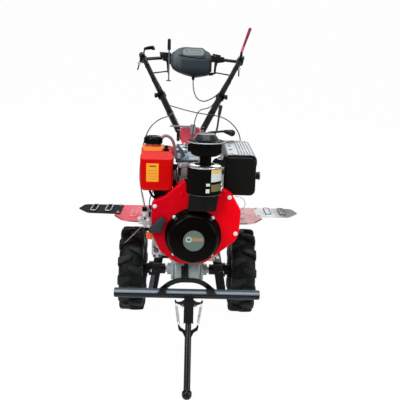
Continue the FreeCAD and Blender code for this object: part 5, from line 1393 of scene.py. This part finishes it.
# %% Front frame
plate("arch_foot", [(-121, 55), (-80, 56), (-84, 67), (-72, 81), (-102, 80)], -435.4, 2.5, BLACK, 0.8)
plate("arch_foot", [(74, 82), (100, 82), (117, 60), (79, 59), (73, 76)], -435.4, 2.5, BLACK, 0.8)
plate("strut_web", [(-28, 42), (-1, 42), (2, -3), (12, -26), (-34, -26), (-26, -12)], -74, 5, BLACK, 1.2)
# The rail's lighter strip is a painted highlight.
strip = slab([(-152, -54), (-136, -54), (-130, -3), (-144, -3)], 0.8)
piece("rail_strip", strip, RAIL_HIGHLIGHT_NAVY, place=stand_at((0, -377.8, 114.4), (0, -0.928, 0.372)))
print("meshes:", len(bpy.data.meshes))

# %% [markdown]
# ## Stand springs
#
# Two closely wound tension springs hold the prop leg. Wound wire is a spiral, so a recipe
# winds it. Each spring runs from the channel's hook to the leg's wing, and a bent hook
# finishes each end.

# %% Wind the springs
spring_recipe = Recipe("tension_spring", Turns=16.0, Wire=1.1, Radius=4.6, Length=60.0)
winding = spring_recipe.add(
    "GeometryNodeCurveSpiral", Resolution=18, Rotations=spring_recipe.given("Turns"),
    Start_Radius=spring_recipe.given("Radius"), End_Radius=spring_recipe.given("Radius"),
    Height=spring_recipe.given("Length"))
wire = spring_recipe.add("GeometryNodeCurvePrimitiveCircle", Resolution=7, Radius=spring_recipe.given("Wire"))
spring_recipe.finish(spring_recipe.add(
    "GeometryNodeCurveToMesh", Curve=winding, Profile_Curve=wire, Fill_Caps=True))
HOOK = ((9, 4), (3, 4), (-3, 2), (-4, -2), (1, -4), (5, -2), (9, -2))  # along the spring, and across it

coils = bmesh.new()
for side in (1, -1):
    top_end = Vector((STAND_X + 49 * side, -441.5, 15.5))
    low_end = Vector((STAND_X + 38 * side, -468.9, -55.5))
    along, length = (low_end - top_end).normalized(), (low_end - top_end).length
    coil = grown_mesh(spring_recipe, bpy.data.meshes.new("seed"), ZINC, Length=length - 16, Turns=20.0)
    coil.transform(stand_at(top_end + along * 8, along))
    coils.from_mesh(coil)
    for end, outward in ((top_end, along), (low_end, -along)):
        hook = tube([end + outward * ahead + Vector((across, 0, 0)) for ahead, across in HOOK], 1.1, 7)
        coils.from_mesh(as_mesh(moved(hook, MACHINE)))
springs = dress("wound_springs", as_mesh(coils, "wound_springs"), ZINC, None, 60)
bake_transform(springs)
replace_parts(springs, "stand_springs")
print("springs:", len(springs.data.vertices), "points")

# %% [markdown]
# ## Control cables
#
# A control cable is a smooth sheathed wire, tied along the handlebar and looped to the
# engine. The CAD route's points are the controls of a NURBS line, which a tube follows. Each
# cable is one fixed mesh that stays put when the handlebar swivels.

# %% Cables along their routes
ROUTES = {
    "throttle_cable": [
        (-272.6, 827.7, 979), (-237, 730, 922), (-191, 605, 851), (-151, 494, 798), (-111, 384, 730),
        (-86, 300, 698), (-104, 200, 690), (-150, 80, 684), (-188, -40, 650), (-206, -130, 570),
        (-207, -220, 480), (-192, -290, 430), (-178, -303.5, 372.5)],
    "clutch_cable": [
        (269, 818, 971), (226, 699, 905), (191, 603, 852), (151, 494, 799), (111, 384, 731), (78, 318, 720),
        (42, 240, 722), (20, 160, 690), (4, 70, 590), (0, 24, 500), (0, 12, 437.5)],
    "steering_cable": [
        (-106, 424, 722), (-50, 405, 708), (20, 365, 696), (84, 306, 692), (132, 230, 694), (168, 140, 688),
        (200, 76, 664), (222, 42, 630), (226, 26, 590), (208, 24, 520), (170, 26, 430), (128, 32, 360),
        (98, 40, 340), (66.5, 40, 340)],
}
for name, route in ROUTES.items():
    cable = pipe(f"{name}_sheath", route, 2.5, SHEATH, body=None)
    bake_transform(cable)
    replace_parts(cable, name)
for ends in (((151, 556, 787), (160, 551.4, 790.2)), ((267, 813.5, 968.6), (270.4, 821.8, 969.8))):
    pipe("cable_ferrule", ends, 3.5, BLACK, 12, "handlebar")
print("meshes:", len(bpy.data.meshes))
